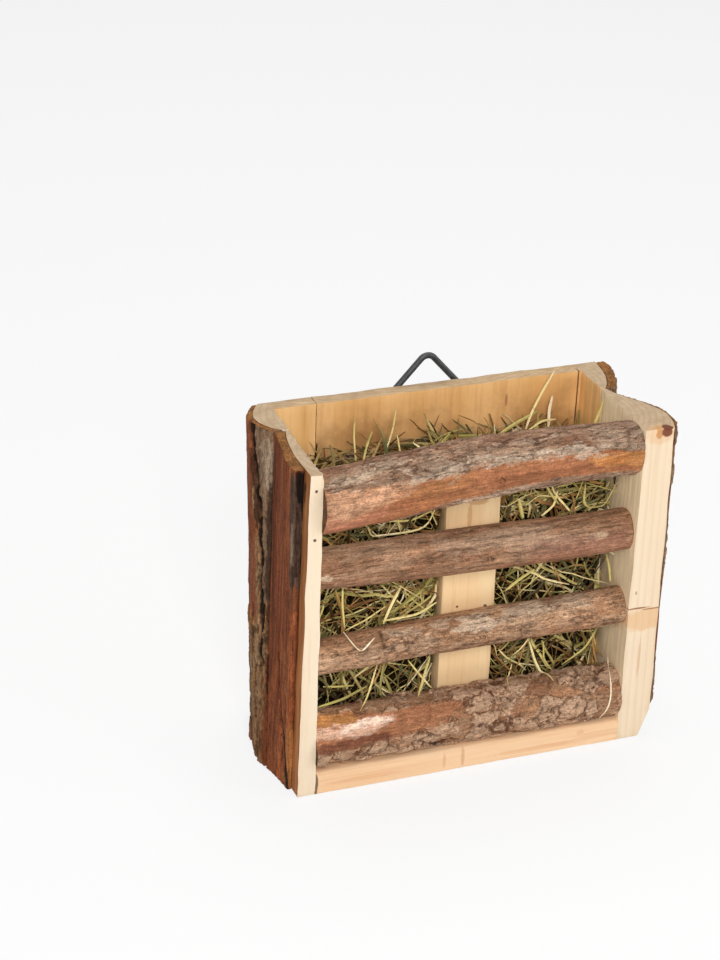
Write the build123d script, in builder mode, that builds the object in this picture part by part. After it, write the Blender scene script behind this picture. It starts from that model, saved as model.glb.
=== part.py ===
from build123d import *

import os
from math import cos, pi, sin

# A hay feeder box for small pets: bark-edged log slabs, natural rods and a wire hanger.
# Millimetres. X runs to the right, Y to the back, Z up, from the middle of the base.

os.makedirs("parts", exist_ok=True)

# The box
inner_width = 180  # between the two sides
side_height = 193
depth = 89  # from the front edges to the back of the boards
back_thickness = 9
bottom_thickness = 12.5
bottom_edge_round = 3  # the worn front edge of the bottom board
narrow_board = 24  # width of the narrow back board
board_gap = 0.4  # between the two back boards
seam_gap = 0.3  # between the front and the rear slab of a side
bark_gap = 0.1  # between bark and wood

# The centre slat, and the rods nailed across its front
slat_width = 31
slat_thickness = 10
slat_drop = 10.5  # from the top of the sides down to the slat's top
slat_offset = 6  # its middle, right of the middle of the box
slat_setback = 28  # from the front edges of the sides to the slat's face
rod_gap = 0.1  # between a rod's back and the slat

# Wire nails, in holes that they fill
nail_radius = 0.9
nail_head_radius = 2.1
nail_head_thickness = 0.8
nail_point = 2.5
nail_tip_radius = 0.2
nail_fit = 0.02
nail_grip = 18  # how far a nail reaches into the piece that it holds
nail_sink = 1  # how far its seat lies under the surface
nail_setback = 4  # behind a rod's axis, clear of the bark's edge
slat_nail_grip = 7
side_nail_setback = 14.5  # of the bottom board's nails, behind the front edges of the slabs
board_nail_spacing = 74  # of the wide board's nails along its foot
back_nail_margin = 45  # from the foot and the top of the back boards

# The hanger: a bent wire triangle in a folded strap, held by two screws
wire_radius = 1.75
triangle_width = 52
triangle_height = 29
triangle_bend = 5
wire_ends_gap = 0.6  # where the wire's ends meet, inside the strap
hanger_offset = 1.8  # its middle, right of the middle of the box
hanger_drop = 11.5  # from the top of the boards down to the wire's base
strap_sheet = 1
strap_width = 16
strap_length = 14
strap_corner = 3
strap_fit = 0.08  # running clearance around the wire
screw_spacing = 8.6
screw_drop = 8.5  # from the wire's base down to the screws
screw_radius = 1.3
screw_head_radius = 2.6
screw_head_height = 1.8
screw_slot_length = 2.6
screw_slot_width = 0.7
screw_slot_depth = 0.8
screw_length = 8

# The hay
hay_gap = 0.5  # off the boards
hay_side_gap = 1.5  # off the sides, the rods and the slat
hay_front_drop = 55  # from the top of the sides
hay_back_drop = 35
hay_mound = 7  # how much higher it lies in the middle
hay_round = 6

half = inner_width / 2
front = -depth / 2
back = depth / 2
back_board_face = back - back_thickness
slat_face = front + slat_setback
wire_y = back + strap_sheet + strap_fit + wire_radius
wire_z = side_height - hanger_drop
feet_and_tops = (0, side_height)


def save(part, name):
    part.label = name
    export_step(part, f"parts/{name}.step")


# ---- The sides ----
# Each side is two slabs of a split log, one behind the other, and the seam between them leans.
# A slab has five thicknesses, evenly spaced from its front edge to its rear edge: for the wood
# alone and for the wood with its bark, at the foot and at the top.
left_front_width = (33, 55)
right_front_width = (47.5, 55)
left_seam = tuple(front + width for width in left_front_width)
right_seam = tuple(front + width for width in right_front_width)
bark_end = 0.5  # from the bark's edge to the wood's edge
bare_edge = 8  # where the bark of the left front slab was cut away
thin_edge = 1.5

# Each furrow of the bark runs up it, through places given as the share of the height, the
# distance behind the front edges and the depth. It has run out where the depth is furrow_end.
furrow_slope = 0.6  # half of its width for its depth
furrow_margin = 1.1  # how far the cutter stands out of the bark
furrow_end = -0.9

slabs = {
    "left_front": {
        "side": -1,
        "front": (front, front),
        "rear": (left_seam[0] - seam_gap, left_seam[1] - seam_gap),
        "bark_ends": (bare_edge, bark_end),
        "wood": ((10, 10.3, 10.8, 11.5, 12), (7, 7.1, 6.6, 5.2, 2)),
        "with_bark": ((13, 13.8, 14.6, 15.8, 17.5), (12.6, 13.2, 11.4, 9.8, 8.2)),
        "furrows": (
            ((0.03, 14, furrow_end), (0.06, 14.5, 1.8), (0.14, 16, 2), (0.21, 20, 1.6), (0.33, 24, 1.2), (0.45, 28, furrow_end)),
            ((0.48, 13, furrow_end), (0.6, 13.5, 1.2), (0.84, 17, 1.5), (1.02, 19, 1.6)),
        ),
    },
    "left_rear": {
        "side": -1,
        "front": left_seam,
        "rear": (back, back),
        "bark_ends": (bark_end, bark_end),
        "wood": ((14, 15.6, 13.4, 9.4, 5.8), (2.4, 11, 13.4, 11.2, 6.2)),
        "with_bark": ((18, 18.6, 15.8, 11.4, 7.6), (8.4, 14.4, 17.2, 14.8, 9.4)),
        "furrows": (
            ((-0.02, 46, 1), (0.2, 47.5, 1.2), (0.38, 45.5, 1.5), (0.55, 50, 2), (0.67, 54.5, 2.3),
             (0.82, 59.5, 2.4), (0.9, 66.5, 2.2), (1.02, 72, 2.2)),
            ((-0.02, 69, 1.2), (0.15, 64, 1.5), (0.3, 66, 1.5), (0.46, 62, 1.2), (0.62, 66, furrow_end)),
        ),
    },
    "right_front": {
        "side": 1,
        "front": (front, front),
        "rear": (right_seam[0] - seam_gap, right_seam[1] - seam_gap),
        "bark_ends": (thin_edge, bark_end),
        "wood": ((19.4, 20, 18, 13, 7), (16.8, 20.2, 17.4, 8.4, 2)),
        "with_bark": ((20.8, 21.6, 19.4, 14.6, 8.8), (19, 21.6, 18.8, 9.8, 3.6)),
        "bevel": (12.9, 18),  # its broken lower corner: what is left at the foot, and how high
        "furrows": (
            ((0.12, 22, furrow_end), (0.3, 24, 0.9), (0.5, 21, 1), (0.75, 26, 1), (1.02, 28, 1)),
            ((0.2, 40, furrow_end), (0.35, 38, 0.9), (0.55, 41, 1), (0.8, 42, furrow_end)),
        ),
    },
    "right_rear": {
        "side": 1,
        "front": right_seam,
        "rear": (back, back),
        "bark_ends": (bark_end, bark_end),
        "wood": ((6.6, 10.4, 12.2, 12, 11), (2.4, 7.4, 10, 11.4, 11.8)),
        "with_bark": ((12, 15.6, 18, 18, 16.4), (9, 13, 16, 18.2, 17)),
        "furrows": (
            ((-0.02, 60, 1.6), (0.25, 63, 2), (0.5, 61, 2.2), (0.75, 66, 2.2), (1.02, 68, 2)),
            ((0.1, 77, furrow_end), (0.3, 76, 1.6), (0.6, 79, 1.8), (0.85, 77, 1.5), (1.02, 78, 1.2)),
        ),
    },
}


def rounded_edge(side, near, far, thicknesses):
    # points along the outside of a slab, from its front edge to its rear edge
    step = (far - near) / (len(thicknesses) - 1)
    return [(side * (half + t), near + i * step) for i, t in enumerate(thicknesses)]


def slab_body(side, edges):
    # a flat inner face, two edges and a rounded outside, lofted from the foot to the top
    with BuildPart() as body:
        for height, edge in zip(feet_and_tops, edges):
            with BuildSketch(Plane.XY.offset(height)):
                with BuildLine():
                    Spline(*edge)
                    Polyline(edge[-1], (side * half, edge[-1][1]), (side * half, edge[0][1]), edge[0])
                make_face()
        loft()
    return body.part


def wood_body(slab, grown):
    edges = []
    for level in (0, 1):
        thicknesses = [t + grown for t in slab["wood"][level]]
        edges.append(rounded_edge(slab["side"], slab["front"][level], slab["rear"][level], thicknesses))
    return slab_body(slab["side"], edges)


def barked_body(slab):
    near, far = slab["bark_ends"]
    edges = []
    for level in (0, 1):
        start = slab["front"][level] + near
        end = slab["rear"][level] - far
        edges.append(rounded_edge(slab["side"], start, end, slab["with_bark"][level]))
    return slab_body(slab["side"], edges)


def bevel_width(slab):
    left, height = slab["bevel"]
    return slab["wood"][0][0] - left


def bevel_plane(slab):
    left, height = slab["bevel"]
    outward = (slab["side"] * height, 0, -bevel_width(slab))
    return Plane((slab["side"] * (half + left), 0, 0), z_dir=outward)


def thickness_at(slab, rows, ends, y, z):
    # between the five thicknesses, at a place on the slab
    up = z / side_height
    near = slab["front"][0] + (slab["front"][1] - slab["front"][0]) * up + ends[0]
    far = slab["rear"][0] + (slab["rear"][1] - slab["rear"][0]) * up - ends[1]
    spaces = len(rows[0]) - 1
    place = (y - near) / (far - near) * spaces
    first = min(int(place), spaces - 1)
    foot, top = (row[first] + (row[first + 1] - row[first]) * (place - first) for row in rows)
    return foot + (top - foot) * up


def wood_thickness(slab, y, z):
    thickness = thickness_at(slab, slab["wood"], (0, 0), y, z)
    if "bevel" in slab:
        left, height = slab["bevel"]
        thickness = min(thickness, left + bevel_width(slab) * z / height)
    return thickness


def furrow(stations):
    # a V-shaped crack, through places that each give a plane with Y outwards, and the depth
    with BuildPart() as cutter:
        for plane, depth in stations:
            reach = (depth + furrow_margin) * furrow_slope
            with BuildSketch(plane):
                Polygon((-reach, furrow_margin), (0, -depth), (reach, furrow_margin), align=None)
        loft(ruled=True)
    return cutter.part


def bark_furrow(slab, places):
    stations = []
    for share, behind, depth in places:
        y, z = front + behind, side_height * share
        thickness = thickness_at(slab, slab["with_bark"], slab["bark_ends"], y, z)
        outside = Vector(slab["side"] * (half + thickness), y, z)
        stations.append((Plane(outside, x_dir=(0, slab["side"], 0), z_dir=(0, 0, -1)), depth))
    return furrow(stations)


# ---- The rods ----
# The top rod is near the rim, the rail lies on the bottom board, and the others stand evenly
# between them. A stem swells, and its axis leads away from the slat and rises, so each has a
# value at the left end, in the middle and at the right end.
top_rod_drop = 15
rail_rise = 14.5
top_height = side_height - top_rod_drop
rail_height = bottom_thickness + rail_rise
rod_spacing = (top_height - rail_height) / 3
rods = {
    "top_rod": {
        "height": top_height,
        "rise": (-6, 0, 0.5),
        "radius": (16.6, 16.1, 14),
        "lead": (1, 0, 1.7),
    },
    "second_rod": {
        "height": rail_height + 2 * rod_spacing,
        "rise": (3, 0, 1),
        "radius": (10.7, 12.1, 11.3),
        "lead": (1, 0, 3),
    },
    "third_rod": {
        "height": rail_height + rod_spacing,
        "rise": (-2, 0, 4),
        "radius": (9.6, 10.3, 10.4),
        "lead": (1, 0, 5),
    },
    "bottom_rail": {
        "height": rail_height,
        "rise": (0.8, 0, -0.8),
        "radius": (15, 14.4, 13.8),
        "lead": (0, 0, 1.8),
    },
}
# Each crack across the rail's bark: how far right of the middle it is, the angles above the
# front between which it runs, its sway sideways and its depth.
rail_cracks = (
    (-66, 25, 120, 0.9, 1.1), (-42, -40, 30, -0.8, 1.2), (-24, 5, 110, 1.5, 1.4), (-8, -30, 70, -1, 1.2),
    (13, -5, 115, 1.2, 1.5), (31, -45, 60, 1.6, 1.3), (48, 0, 105, -1.2, 1.5), (62, -35, 85, 0.8, 1.3),
    (74, -25, 95, -1.2, 1.4),
)
crack_steps = 4
ring_count = 5
ring_points = 10
lobes = 3  # a stem is never quite round
lobe_depth = 0.035  # of its radius
lobe_twist = 1.9  # from one ring to the next, in radians


def along(values, share):
    # a curve through three values, at a share of the rod's length
    left, middle, right = values
    bow = 4 * middle - 2 * (left + right)
    return left + (right - left) * share + bow * share * (1 - share)


def rod_centre(rod, share):
    reach = along(rod["radius"], share) * (1 + lobe_depth)
    y = slat_face - rod_gap - reach - along(rod["lead"], share)
    return (inner_width * (share - 0.5), y, rod["height"] + along(rod["rise"], share))


def rod_crack(rod, x, low, high, sway, depth):
    share = 0.5 + x / inner_width
    radius = along(rod["radius"], share)
    stations = []
    for step in range(crack_steps + 1):
        angle = (low + (high - low) * step / crack_steps) * pi / 180
        outward = Vector(0, -cos(angle), sin(angle))
        place = Vector(*rod_centre(rod, share)) + outward * radius + Vector(sway * (-1) ** step, 0, 0)
        runs_out = step in (0, crack_steps)
        plane = Plane(place, x_dir=(1, 0, 0), z_dir=Vector(1, 0, 0).cross(outward))
        stations.append((plane, furrow_end if runs_out else depth))
    return furrow(stations)


def ring(radius, twist):
    points = []
    for index in range(ring_points):
        angle = 2 * pi * index / ring_points
        reach = radius * (1 + lobe_depth * sin(lobes * angle + twist))
        points.append((reach * cos(angle), reach * sin(angle)))
    return points


# ---- Where the nails go ----
def side_nail(slab, y, z, held):
    # from outside through one slab, into what butts against its inner face
    side = slabs[slab]["side"]
    under_head = wood_thickness(slabs[slab], y, z) - nail_sink
    return {
        "seat": (side * (half + under_head), y, z),
        "driven": (-side, 0, 0),
        "length": under_head + nail_grip,
        "through": slab,
        "held": held,
    }


slat_share = 0.5 + slat_offset / inner_width  # where along a rod the slat crosses
rod_nails = []
slat_nails = []
for name, rod in rods.items():
    for share, slab in ((0, "left_front"), (1, "right_front")):
        x, y, z = rod_centre(rod, share)
        rod_nails.append(side_nail(slab, y + nail_setback, z, name))
    x, y, z = rod_centre(rod, slat_share)
    radius = along(rod["radius"], slat_share)
    seat = y - radius * (1 - lobe_depth) + nail_sink
    slat_nails.append(
        {
            "seat": (slat_offset, seat, z),
            "driven": (0, 1, 0),
            "length": slat_face - seat + slat_nail_grip,
            "through": name,
            "held": "centre_slat",
        }
    )

board_core = bottom_thickness / 2
bottom_nails = []
for name, slab in slabs.items():
    bottom_nails.append(side_nail(name, slab["front"][0] + side_nail_setback, board_core, "bottom_board"))
joint = -half + narrow_board
wide_middle = (joint + half) / 2
board_nails = (
    (-half + narrow_board / 2, "back_board_narrow"),
    (wide_middle - board_nail_spacing / 2, "back_board_wide"),
    (wide_middle + board_nail_spacing / 2, "back_board_wide"),
)
for x, board in board_nails:
    bottom_nails.append(
        {
            "seat": (x, back - nail_sink, board_core),
            "driven": (0, -1, 0),
            "length": back_thickness - nail_sink + nail_grip,
            "through": board,
            "held": "bottom_board",
        }
    )

back_nails = []
back_core = back - back_thickness / 2
for z in (back_nail_margin, side_height - back_nail_margin):
    back_nails.append(side_nail("left_rear", back_core, z, "back_board_narrow"))
    back_nails.append(side_nail("right_rear", back_core, z, "back_board_wide"))

every_nail = rod_nails + slat_nails + bottom_nails + back_nails
pit_depth = 16  # deeper than any bark, so that the pit over a nail's head is open outside


def nail_holes(name):
    # inside a part's block: a stepped hole for every nail that passes or enters that piece
    for nail in every_nail:
        if name in (nail["through"], nail["held"]):
            outward = -Vector(*nail["driven"])
            with Locations(Plane(Vector(*nail["seat"]) + outward * pit_depth, z_dir=outward)):
                CounterBoreHole(
                    nail_radius + nail_fit,
                    nail_head_radius + nail_fit,
                    pit_depth,
                    pit_depth + nail["length"] + nail_fit,
                )


def wire_nails(nails):
    with BuildPart() as group:
        for nail in nails:
            across = Vector(0, 0, 1)
            driven = Vector(*nail["driven"])
            length = nail["length"]
            with BuildSketch(Plane(nail["seat"], x_dir=across, z_dir=across.cross(driven))):
                with BuildLine():
                    Polyline(
                        (0, -nail_head_thickness),
                        (nail_head_radius, -nail_head_thickness),
                        (nail_head_radius, 0),
                        (nail_radius, 0),
                        (nail_radius, length - nail_point),
                        (nail_tip_radius, length),
                        (0, length),
                        close=True,
                    )
                make_face()
            revolve(axis=Axis(nail["seat"], driven))
    return group.part


# ---- Slabs and bark ----
for name, slab in slabs.items():
    with BuildPart() as wood:
        add(wood_body(slab, 0))
        if "bevel" in slab:
            split(bisect_by=bevel_plane(slab), keep=Keep.BOTTOM)
        nail_holes(name)
    save(wood.part, f"{name}_slab")

    with BuildPart() as bark:
        add(barked_body(slab))
        for places in slab["furrows"]:
            add(bark_furrow(slab, places), mode=Mode.SUBTRACT)
        add(wood_body(slab, bark_gap), mode=Mode.SUBTRACT)
        if "bevel" in slab:
            split(bisect_by=bevel_plane(slab), keep=Keep.BOTTOM)
        nail_holes(name)
    save(bark.part, f"{name}_bark")

# ---- Boards ----
with BuildPart() as bottom_board:
    with BuildSketch():
        with Locations((0, front)):
            Rectangle(inner_width, back_board_face - front, align=(Align.CENTER, Align.MIN))
    extrude(amount=bottom_thickness)
    worn_edge = bottom_board.edges().filter_by(Axis.X).group_by(Axis.Z)[-1].sort_by(Axis.Y)[0]
    fillet(worn_edge, bottom_edge_round)
    nail_holes("bottom_board")
save(bottom_board.part, "bottom_board")

screw_places = [(hanger_offset + s * screw_spacing / 2, wire_z - screw_drop) for s in (-1, 1)]
board_spans = {
    "back_board_narrow": (-half, joint - board_gap / 2),
    "back_board_wide": (joint + board_gap / 2, half),
}
for name, (left, right) in board_spans.items():
    with BuildPart() as board:
        with BuildSketch(Plane.XZ.offset(-back)):
            with Locations((left, 0)):
                Rectangle(right - left, side_height, align=Align.MIN)
        extrude(amount=back_thickness)
        nail_holes(name)
        if name == "back_board_wide":
            with Locations(*[Plane((x, back, z), z_dir=(0, 1, 0)) for x, z in screw_places]):
                Hole(screw_radius + nail_fit, depth=screw_length)
    save(board.part, name)

with BuildPart() as centre_slat:
    with BuildSketch(Plane.XY.offset(bottom_thickness)):
        with Locations((slat_offset, slat_face)):
            Rectangle(slat_width, slat_thickness, align=(Align.CENTER, Align.MIN))
    extrude(amount=side_height - slat_drop - bottom_thickness)
    nail_holes("centre_slat")
save(centre_slat.part, "centre_slat")

# ---- Rods ----
for order, (name, rod) in enumerate(rods.items()):
    with BuildPart() as stem:
        for index in range(ring_count):
            share = index / (ring_count - 1)
            with BuildSketch(Plane(rod_centre(rod, share), x_dir=(0, 1, 0), z_dir=(1, 0, 0))):
                with BuildLine():
                    Spline(*ring(along(rod["radius"], share), order + index * lobe_twist), periodic=True)
                make_face()
        loft()
        if name == "bottom_rail":
            for crack in rail_cracks:
                add(rod_crack(rod, *crack), mode=Mode.SUBTRACT)
            # its underside is sawn flat, to lie on the bottom board
            split(bisect_by=Plane.XY.offset(bottom_thickness), keep=Keep.TOP)
        nail_holes(name)
    save(stem.part, name)

# ---- Nails ----
save(wire_nails(rod_nails), "rod_nails")
save(wire_nails(slat_nails), "slat_nails")
save(wire_nails(bottom_nails), "bottom_nails")
save(wire_nails(back_nails), "back_nails")

# ---- The hanger ----
with BuildPart() as hanger_triangle:
    with BuildLine(Plane.XZ.offset(-wire_y)) as bent_wire:
        FilletPolyline(
            (hanger_offset + wire_ends_gap / 2, wire_z),
            (hanger_offset + triangle_width / 2, wire_z),
            (hanger_offset, wire_z + triangle_height),
            (hanger_offset - triangle_width / 2, wire_z),
            (hanger_offset - wire_ends_gap / 2, wire_z),
            radius=triangle_bend,
        )
    with BuildSketch(Plane(bent_wire.line @ 0, z_dir=bent_wire.line % 0)):
        Circle(wire_radius)
    sweep()
save(hanger_triangle.part, "hanger_triangle")

with BuildPart() as hanger_strap:
    with BuildSketch(Plane.YZ.offset(hanger_offset - strap_width / 2)):
        with Locations((wire_y, wire_z)):
            Circle(wire_radius + strap_fit + strap_sheet)
        with Locations((back, wire_z)):
            Rectangle(2 * strap_sheet, strap_length, align=(Align.MIN, Align.MAX))
        with Locations((wire_y, wire_z)):
            Circle(wire_radius + strap_fit, mode=Mode.SUBTRACT)
    extrude(amount=strap_width)
    fillet(hanger_strap.edges().filter_by(Axis.Y).group_by(Axis.Z)[0], strap_corner)
    with Locations(*[Plane((x, back + 2 * strap_sheet, z), z_dir=(0, 1, 0)) for x, z in screw_places]):
        Hole(screw_radius + nail_fit, depth=2 * strap_sheet)
save(hanger_strap.part, "hanger_strap")

with BuildPart() as hanger_screws:
    for x, z in screw_places:
        seat = Vector(x, back + 2 * strap_sheet, z)
        # half of a pan head and its shank, turned about the screw's axis
        with BuildSketch(Plane(seat)):
            with BuildLine():
                EllipticalCenterArc((0, 0), screw_head_radius, screw_head_height, arc_size=90)
                Polyline((0, screw_head_height), (0, -screw_length), (screw_radius, -screw_length))
                Polyline((screw_radius, -screw_length), (screw_radius, 0), (screw_head_radius, 0))
            make_face()
        revolve(axis=Axis(seat, (0, 1, 0)))
        with BuildSketch(Plane(seat, x_dir=(1, 0, 0), z_dir=(0, 1, 0)).offset(screw_head_height)):
            Rectangle(screw_slot_length, screw_slot_width)
            Rectangle(screw_slot_width, screw_slot_length)
        extrude(amount=-screw_slot_depth, mode=Mode.SUBTRACT)
save(hanger_screws.part, "hanger_screws")

# ---- Hay ----
hay_front = slat_face + hay_side_gap
hay_rear = back_board_face - hay_gap
hay_middle = (hay_front + hay_rear) / 2
hay_foot = bottom_thickness + hay_gap
hay_end = half - hay_side_gap
with BuildPart() as hay:
    for x, lift in ((-hay_end, 0), (0, hay_mound), (hay_end, 0)):
        front_top = side_height - hay_front_drop + lift
        rear_top = side_height - hay_back_drop + lift
        with BuildSketch(Plane.YZ.offset(x)):
            with BuildLine():
                crown = ThreePointArc((hay_front, front_top), (hay_middle, rear_top), (hay_rear, rear_top))
                Polyline(crown @ 1, (hay_rear, hay_foot), (hay_front, hay_foot), crown @ 0)
            make_face()
    loft()
    with BuildSketch(Plane.XY.offset(hay_foot)):
        with Locations((0, hay_middle)):
            RectangleRounded(2 * hay_end, hay_rear - hay_front, hay_round)
    extrude(amount=side_height, mode=Mode.INTERSECT)
    # it lies around the slat
    with BuildSketch(Plane.XY.offset(bottom_thickness)):
        with Locations((slat_offset, hay_front)):
            Rectangle(slat_width + 2 * hay_side_gap, 2 * slat_thickness)
    extrude(amount=side_height, mode=Mode.SUBTRACT)
save(hay.part, "hay")
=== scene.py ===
import math

import bmesh
import bpy
import numpy as np
from mathutils import Matrix, Vector


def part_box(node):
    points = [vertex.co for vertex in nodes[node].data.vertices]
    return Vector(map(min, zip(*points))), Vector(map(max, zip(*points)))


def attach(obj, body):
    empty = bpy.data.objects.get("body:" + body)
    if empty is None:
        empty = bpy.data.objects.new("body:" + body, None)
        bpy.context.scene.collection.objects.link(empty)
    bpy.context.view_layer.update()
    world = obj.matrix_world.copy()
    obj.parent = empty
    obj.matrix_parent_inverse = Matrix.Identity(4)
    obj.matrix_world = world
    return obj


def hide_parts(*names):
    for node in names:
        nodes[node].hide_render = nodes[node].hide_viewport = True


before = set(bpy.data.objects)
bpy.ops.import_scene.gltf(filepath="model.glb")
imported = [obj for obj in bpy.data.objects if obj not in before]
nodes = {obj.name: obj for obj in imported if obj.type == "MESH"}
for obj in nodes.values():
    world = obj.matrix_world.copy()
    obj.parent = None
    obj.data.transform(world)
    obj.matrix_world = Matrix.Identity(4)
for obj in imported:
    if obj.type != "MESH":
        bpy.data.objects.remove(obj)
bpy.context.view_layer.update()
print("frame loaded:", len(nodes), "nodes")

mm = 0.001


class Field:
    # an output of a node, which takes part in sums as a number, a vector or a colour
    def __init__(self, tree, socket):
        self.tree = tree
        self.socket = socket
        self.wide = socket.type in ("VECTOR", "RGBA")

    def __add__(self, other):
        return self.tree.combine("ADD", self, other)

    def __sub__(self, other):
        return self.tree.combine("SUBTRACT", self, other)

    def __rsub__(self, other):
        return self.tree.combine("SUBTRACT", other, self)

    def __mul__(self, other):
        return self.tree.combine("MULTIPLY", self, other)

    def __truediv__(self, other):
        return self.tree.combine("DIVIDE", self, other)

    def __rtruediv__(self, other):
        return self.tree.combine("DIVIDE", other, self)

    __radd__ = __add__
    __rmul__ = __mul__


class Tree:
    # a node tree, and short ways to add to it; the same calls serve materials and geometry
    def __init__(self, tree):
        self.tree = tree

    def add(self, kind, sockets=None, **settings):
        node = self.tree.nodes.new(kind)
        for name, value in settings.items():
            setattr(node, name, value)
        for name, value in (sockets or {}).items():
            self.feed(node.inputs[name], value)
        return node

    def feed(self, socket, value):
        if isinstance(value, Field):
            self.tree.links.new(value.socket, socket)
        else:
            socket.default_value = value

    def get(self, kind, sockets=None, output=0, **settings):
        return Field(self, self.add(kind, sockets, **settings).outputs[output])

    def outs(self, kind, sockets=None, **settings):
        return {socket.name: Field(self, socket) for socket in self.add(kind, sockets, **settings).outputs}

    def math(self, operation, a, b=0.0):
        return self.get("ShaderNodeMath", {0: a, 1: b}, operation=operation)

    def vector(self, operation, a, b=(0, 0, 0)):
        sockets = {0: a, "Scale" if operation == "SCALE" else 1: b}
        output = "Value" if operation in ("LENGTH", "DOT_PRODUCT") else "Vector"
        return self.get("ShaderNodeVectorMath", sockets, output, operation=operation)

    def combine(self, operation, a, b):
        # a vector times a number scales it; otherwise both are of one kind
        wide = [value.wide if isinstance(value, Field) else isinstance(value, tuple) for value in (a, b)]
        if not any(wide):
            return self.math(operation, a, b)
        if operation == "MULTIPLY" and not all(wide):
            return self.vector("SCALE", *((a, b) if wide[0] else (b, a)))
        return self.vector(operation, a, b)

    def split(self, vector):
        return list(self.outs("ShaderNodeSeparateXYZ", {0: vector}).values())

    def join(self, x=0.0, y=0.0, z=0.0):
        return self.get("ShaderNodeCombineXYZ", {0: x, 1: y, 2: z})

    def place(self):
        return self.get("ShaderNodeTexCoord", output="Object")

    def noise(self, place, scale, detail=3.0, roughness=0.5, output=0):
        sockets = {"Vector": place, "Scale": scale, "Detail": detail, "Roughness": roughness}
        return self.get("ShaderNodeTexNoise", sockets, output)

    def drift(self, place, scale, detail=3.0, roughness=0.5):
        # a vector that wanders round zero
        return self.noise(place, scale, detail, roughness, "Color") - (0.5, 0.5, 0.5)

    def cells(self, place, scale, feature="F1", output="Distance"):
        return self.get("ShaderNodeTexVoronoi", {"Vector": place, "Scale": scale}, output, feature=feature)

    def fit(self, value, low, high, to=(0.0, 1.0), kind="SMOOTHSTEP"):
        sockets = {0: value, 1: low, 2: high, 3: to[0], 4: to[1]}
        return self.get("ShaderNodeMapRange", sockets, interpolation_type=kind)

    def mix(self, share, a, b):
        a, b = (value if isinstance(value, Field) else shade(*value) for value in (a, b))
        return self.get("ShaderNodeMix", {0: share, 6: a, 7: b}, 2, data_type="RGBA")

    def ramp(self, value, stops):
        node = self.add("ShaderNodeValToRGB", {0: value})
        elements = node.color_ramp.elements
        while len(elements) < len(stops):
            elements.new(0.5)
        for element, (place, colour) in zip(elements, stops):
            element.position = place
            element.color = shade(*colour)
        return Field(self, node.outputs[0])

    def named(self, name):
        return self.get("ShaderNodeAttribute", output="Fac", attribute_name=name)

    def finish(self, surface, colour, height, strength, distance):
        # the colour and the fine relief of a material
        self.feed(surface.inputs["Base Color"], colour)
        bump = self.get("ShaderNodeBump", {"Strength": strength, "Distance": distance, "Height": height})
        self.feed(surface.inputs["Normal"], bump)


def shade(red, green, blue):
    # a colour as a screen shows it, 0 to 255, made linear
    linear = [((v / 255 + 0.055) / 1.055) ** 2.4 if v > 10 else v / 3294 for v in (red, green, blue)]
    return (*linear, 1.0)


def newMaterial(name, **settings):
    material = bpy.data.materials.new(name)
    material.use_nodes = True
    tree = Tree(material.node_tree)
    surface = material.node_tree.nodes["Principled BSDF"]
    for socket, value in settings.items():
        surface.inputs[socket.replace("_", " ")].default_value = value
    return material, tree, surface


def newObject(name, mesh):
    piece = bpy.data.objects.new(name, mesh)
    bpy.context.scene.collection.objects.link(piece)
    return piece


# the camera and its view
camera = bpy.data.objects.new("camera", bpy.data.cameras.new("camera"))
bpy.context.scene.collection.objects.link(camera)
cameraSetup = {
    "place": (-0.454717, -1.038462, 0.729080),
    "right": (0.93805999, -0.34494924, 0.03245732),
    "down": (-0.12935097, -0.4355778, -0.8908088),
    "forward": (0.32142151, 0.8314337, -0.45321762),
    "lens": 88.646,
}
axes = [Vector(cameraSetup["right"]), -Vector(cameraSetup["down"]), -Vector(cameraSetup["forward"])]
turn = Matrix(axes).transposed().to_4x4()
camera.matrix_world = Matrix.Translation(cameraSetup["place"]) @ turn
camera.data.lens = cameraSetup["lens"]
camera.data.sensor_width = 36
camera.data.clip_start = 0.05
camera.data.clip_end = 50
bpy.context.scene.camera = camera

bpy.context.scene.view_settings.view_transform = "Standard"

floorMesh = bpy.data.meshes.new("floor")
reach = 6.0
floorCorners = [(reach * x, reach * y, 0) for x, y in ((-1, -1), (1, -1), (1, 1), (-1, 1))]
floorMesh.from_pydata(floorCorners, [], [(0, 1, 2, 3)])
floor = newObject("floor", floorMesh)
floor.location.z = -0.0005


def seenDirectly(tree):
    # 1 where the camera sees a thing itself, in a mirror or through glass
    path = tree.outs("ShaderNodeLightPath")
    seen = tree.math("MAXIMUM", path["Is Camera Ray"], path["Is Glossy Ray"])
    return tree.math("MAXIMUM", seen, path["Is Transmission Ray"])


# the ground goes most of the way to plain white where it is seen
floorWhite = 0.78
floorMaterial, floorTree, floorSurface = newMaterial("pale_floor", Roughness=1.0, Specular_IOR_Level=0.0)
floorSurface.inputs["Base Color"].default_value = (0.92, 0.92, 0.92, 1)
lit = Field(floorTree, floorSurface.outputs[0])
white = floorTree.get("ShaderNodeEmission", {"Color": (1, 1, 1, 1), "Strength": 1.0})
ground = floorTree.get("ShaderNodeMixShader", {0: seenDirectly(floorTree) * floorWhite, 1: lit, 2: white})
floorTree.feed(floorMaterial.node_tree.nodes["Material Output"].inputs["Surface"], ground)
floorMesh.materials.append(floorMaterial)

world = bpy.data.worlds.new("studio")
bpy.context.scene.world = world
world.use_nodes = True
skyTree = Tree(world.node_tree)
background = world.node_tree.nodes["Background"]
background.inputs["Color"].default_value = (1, 1, 1, 1)
litShare, seenShare = 0.34, 1.0
skyStrength = skyTree.fit(seenDirectly(skyTree), 0.0, 1.0, to=(litShare, seenShare), kind="LINEAR")
skyTree.feed(background.inputs["Strength"], skyStrength)

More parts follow.
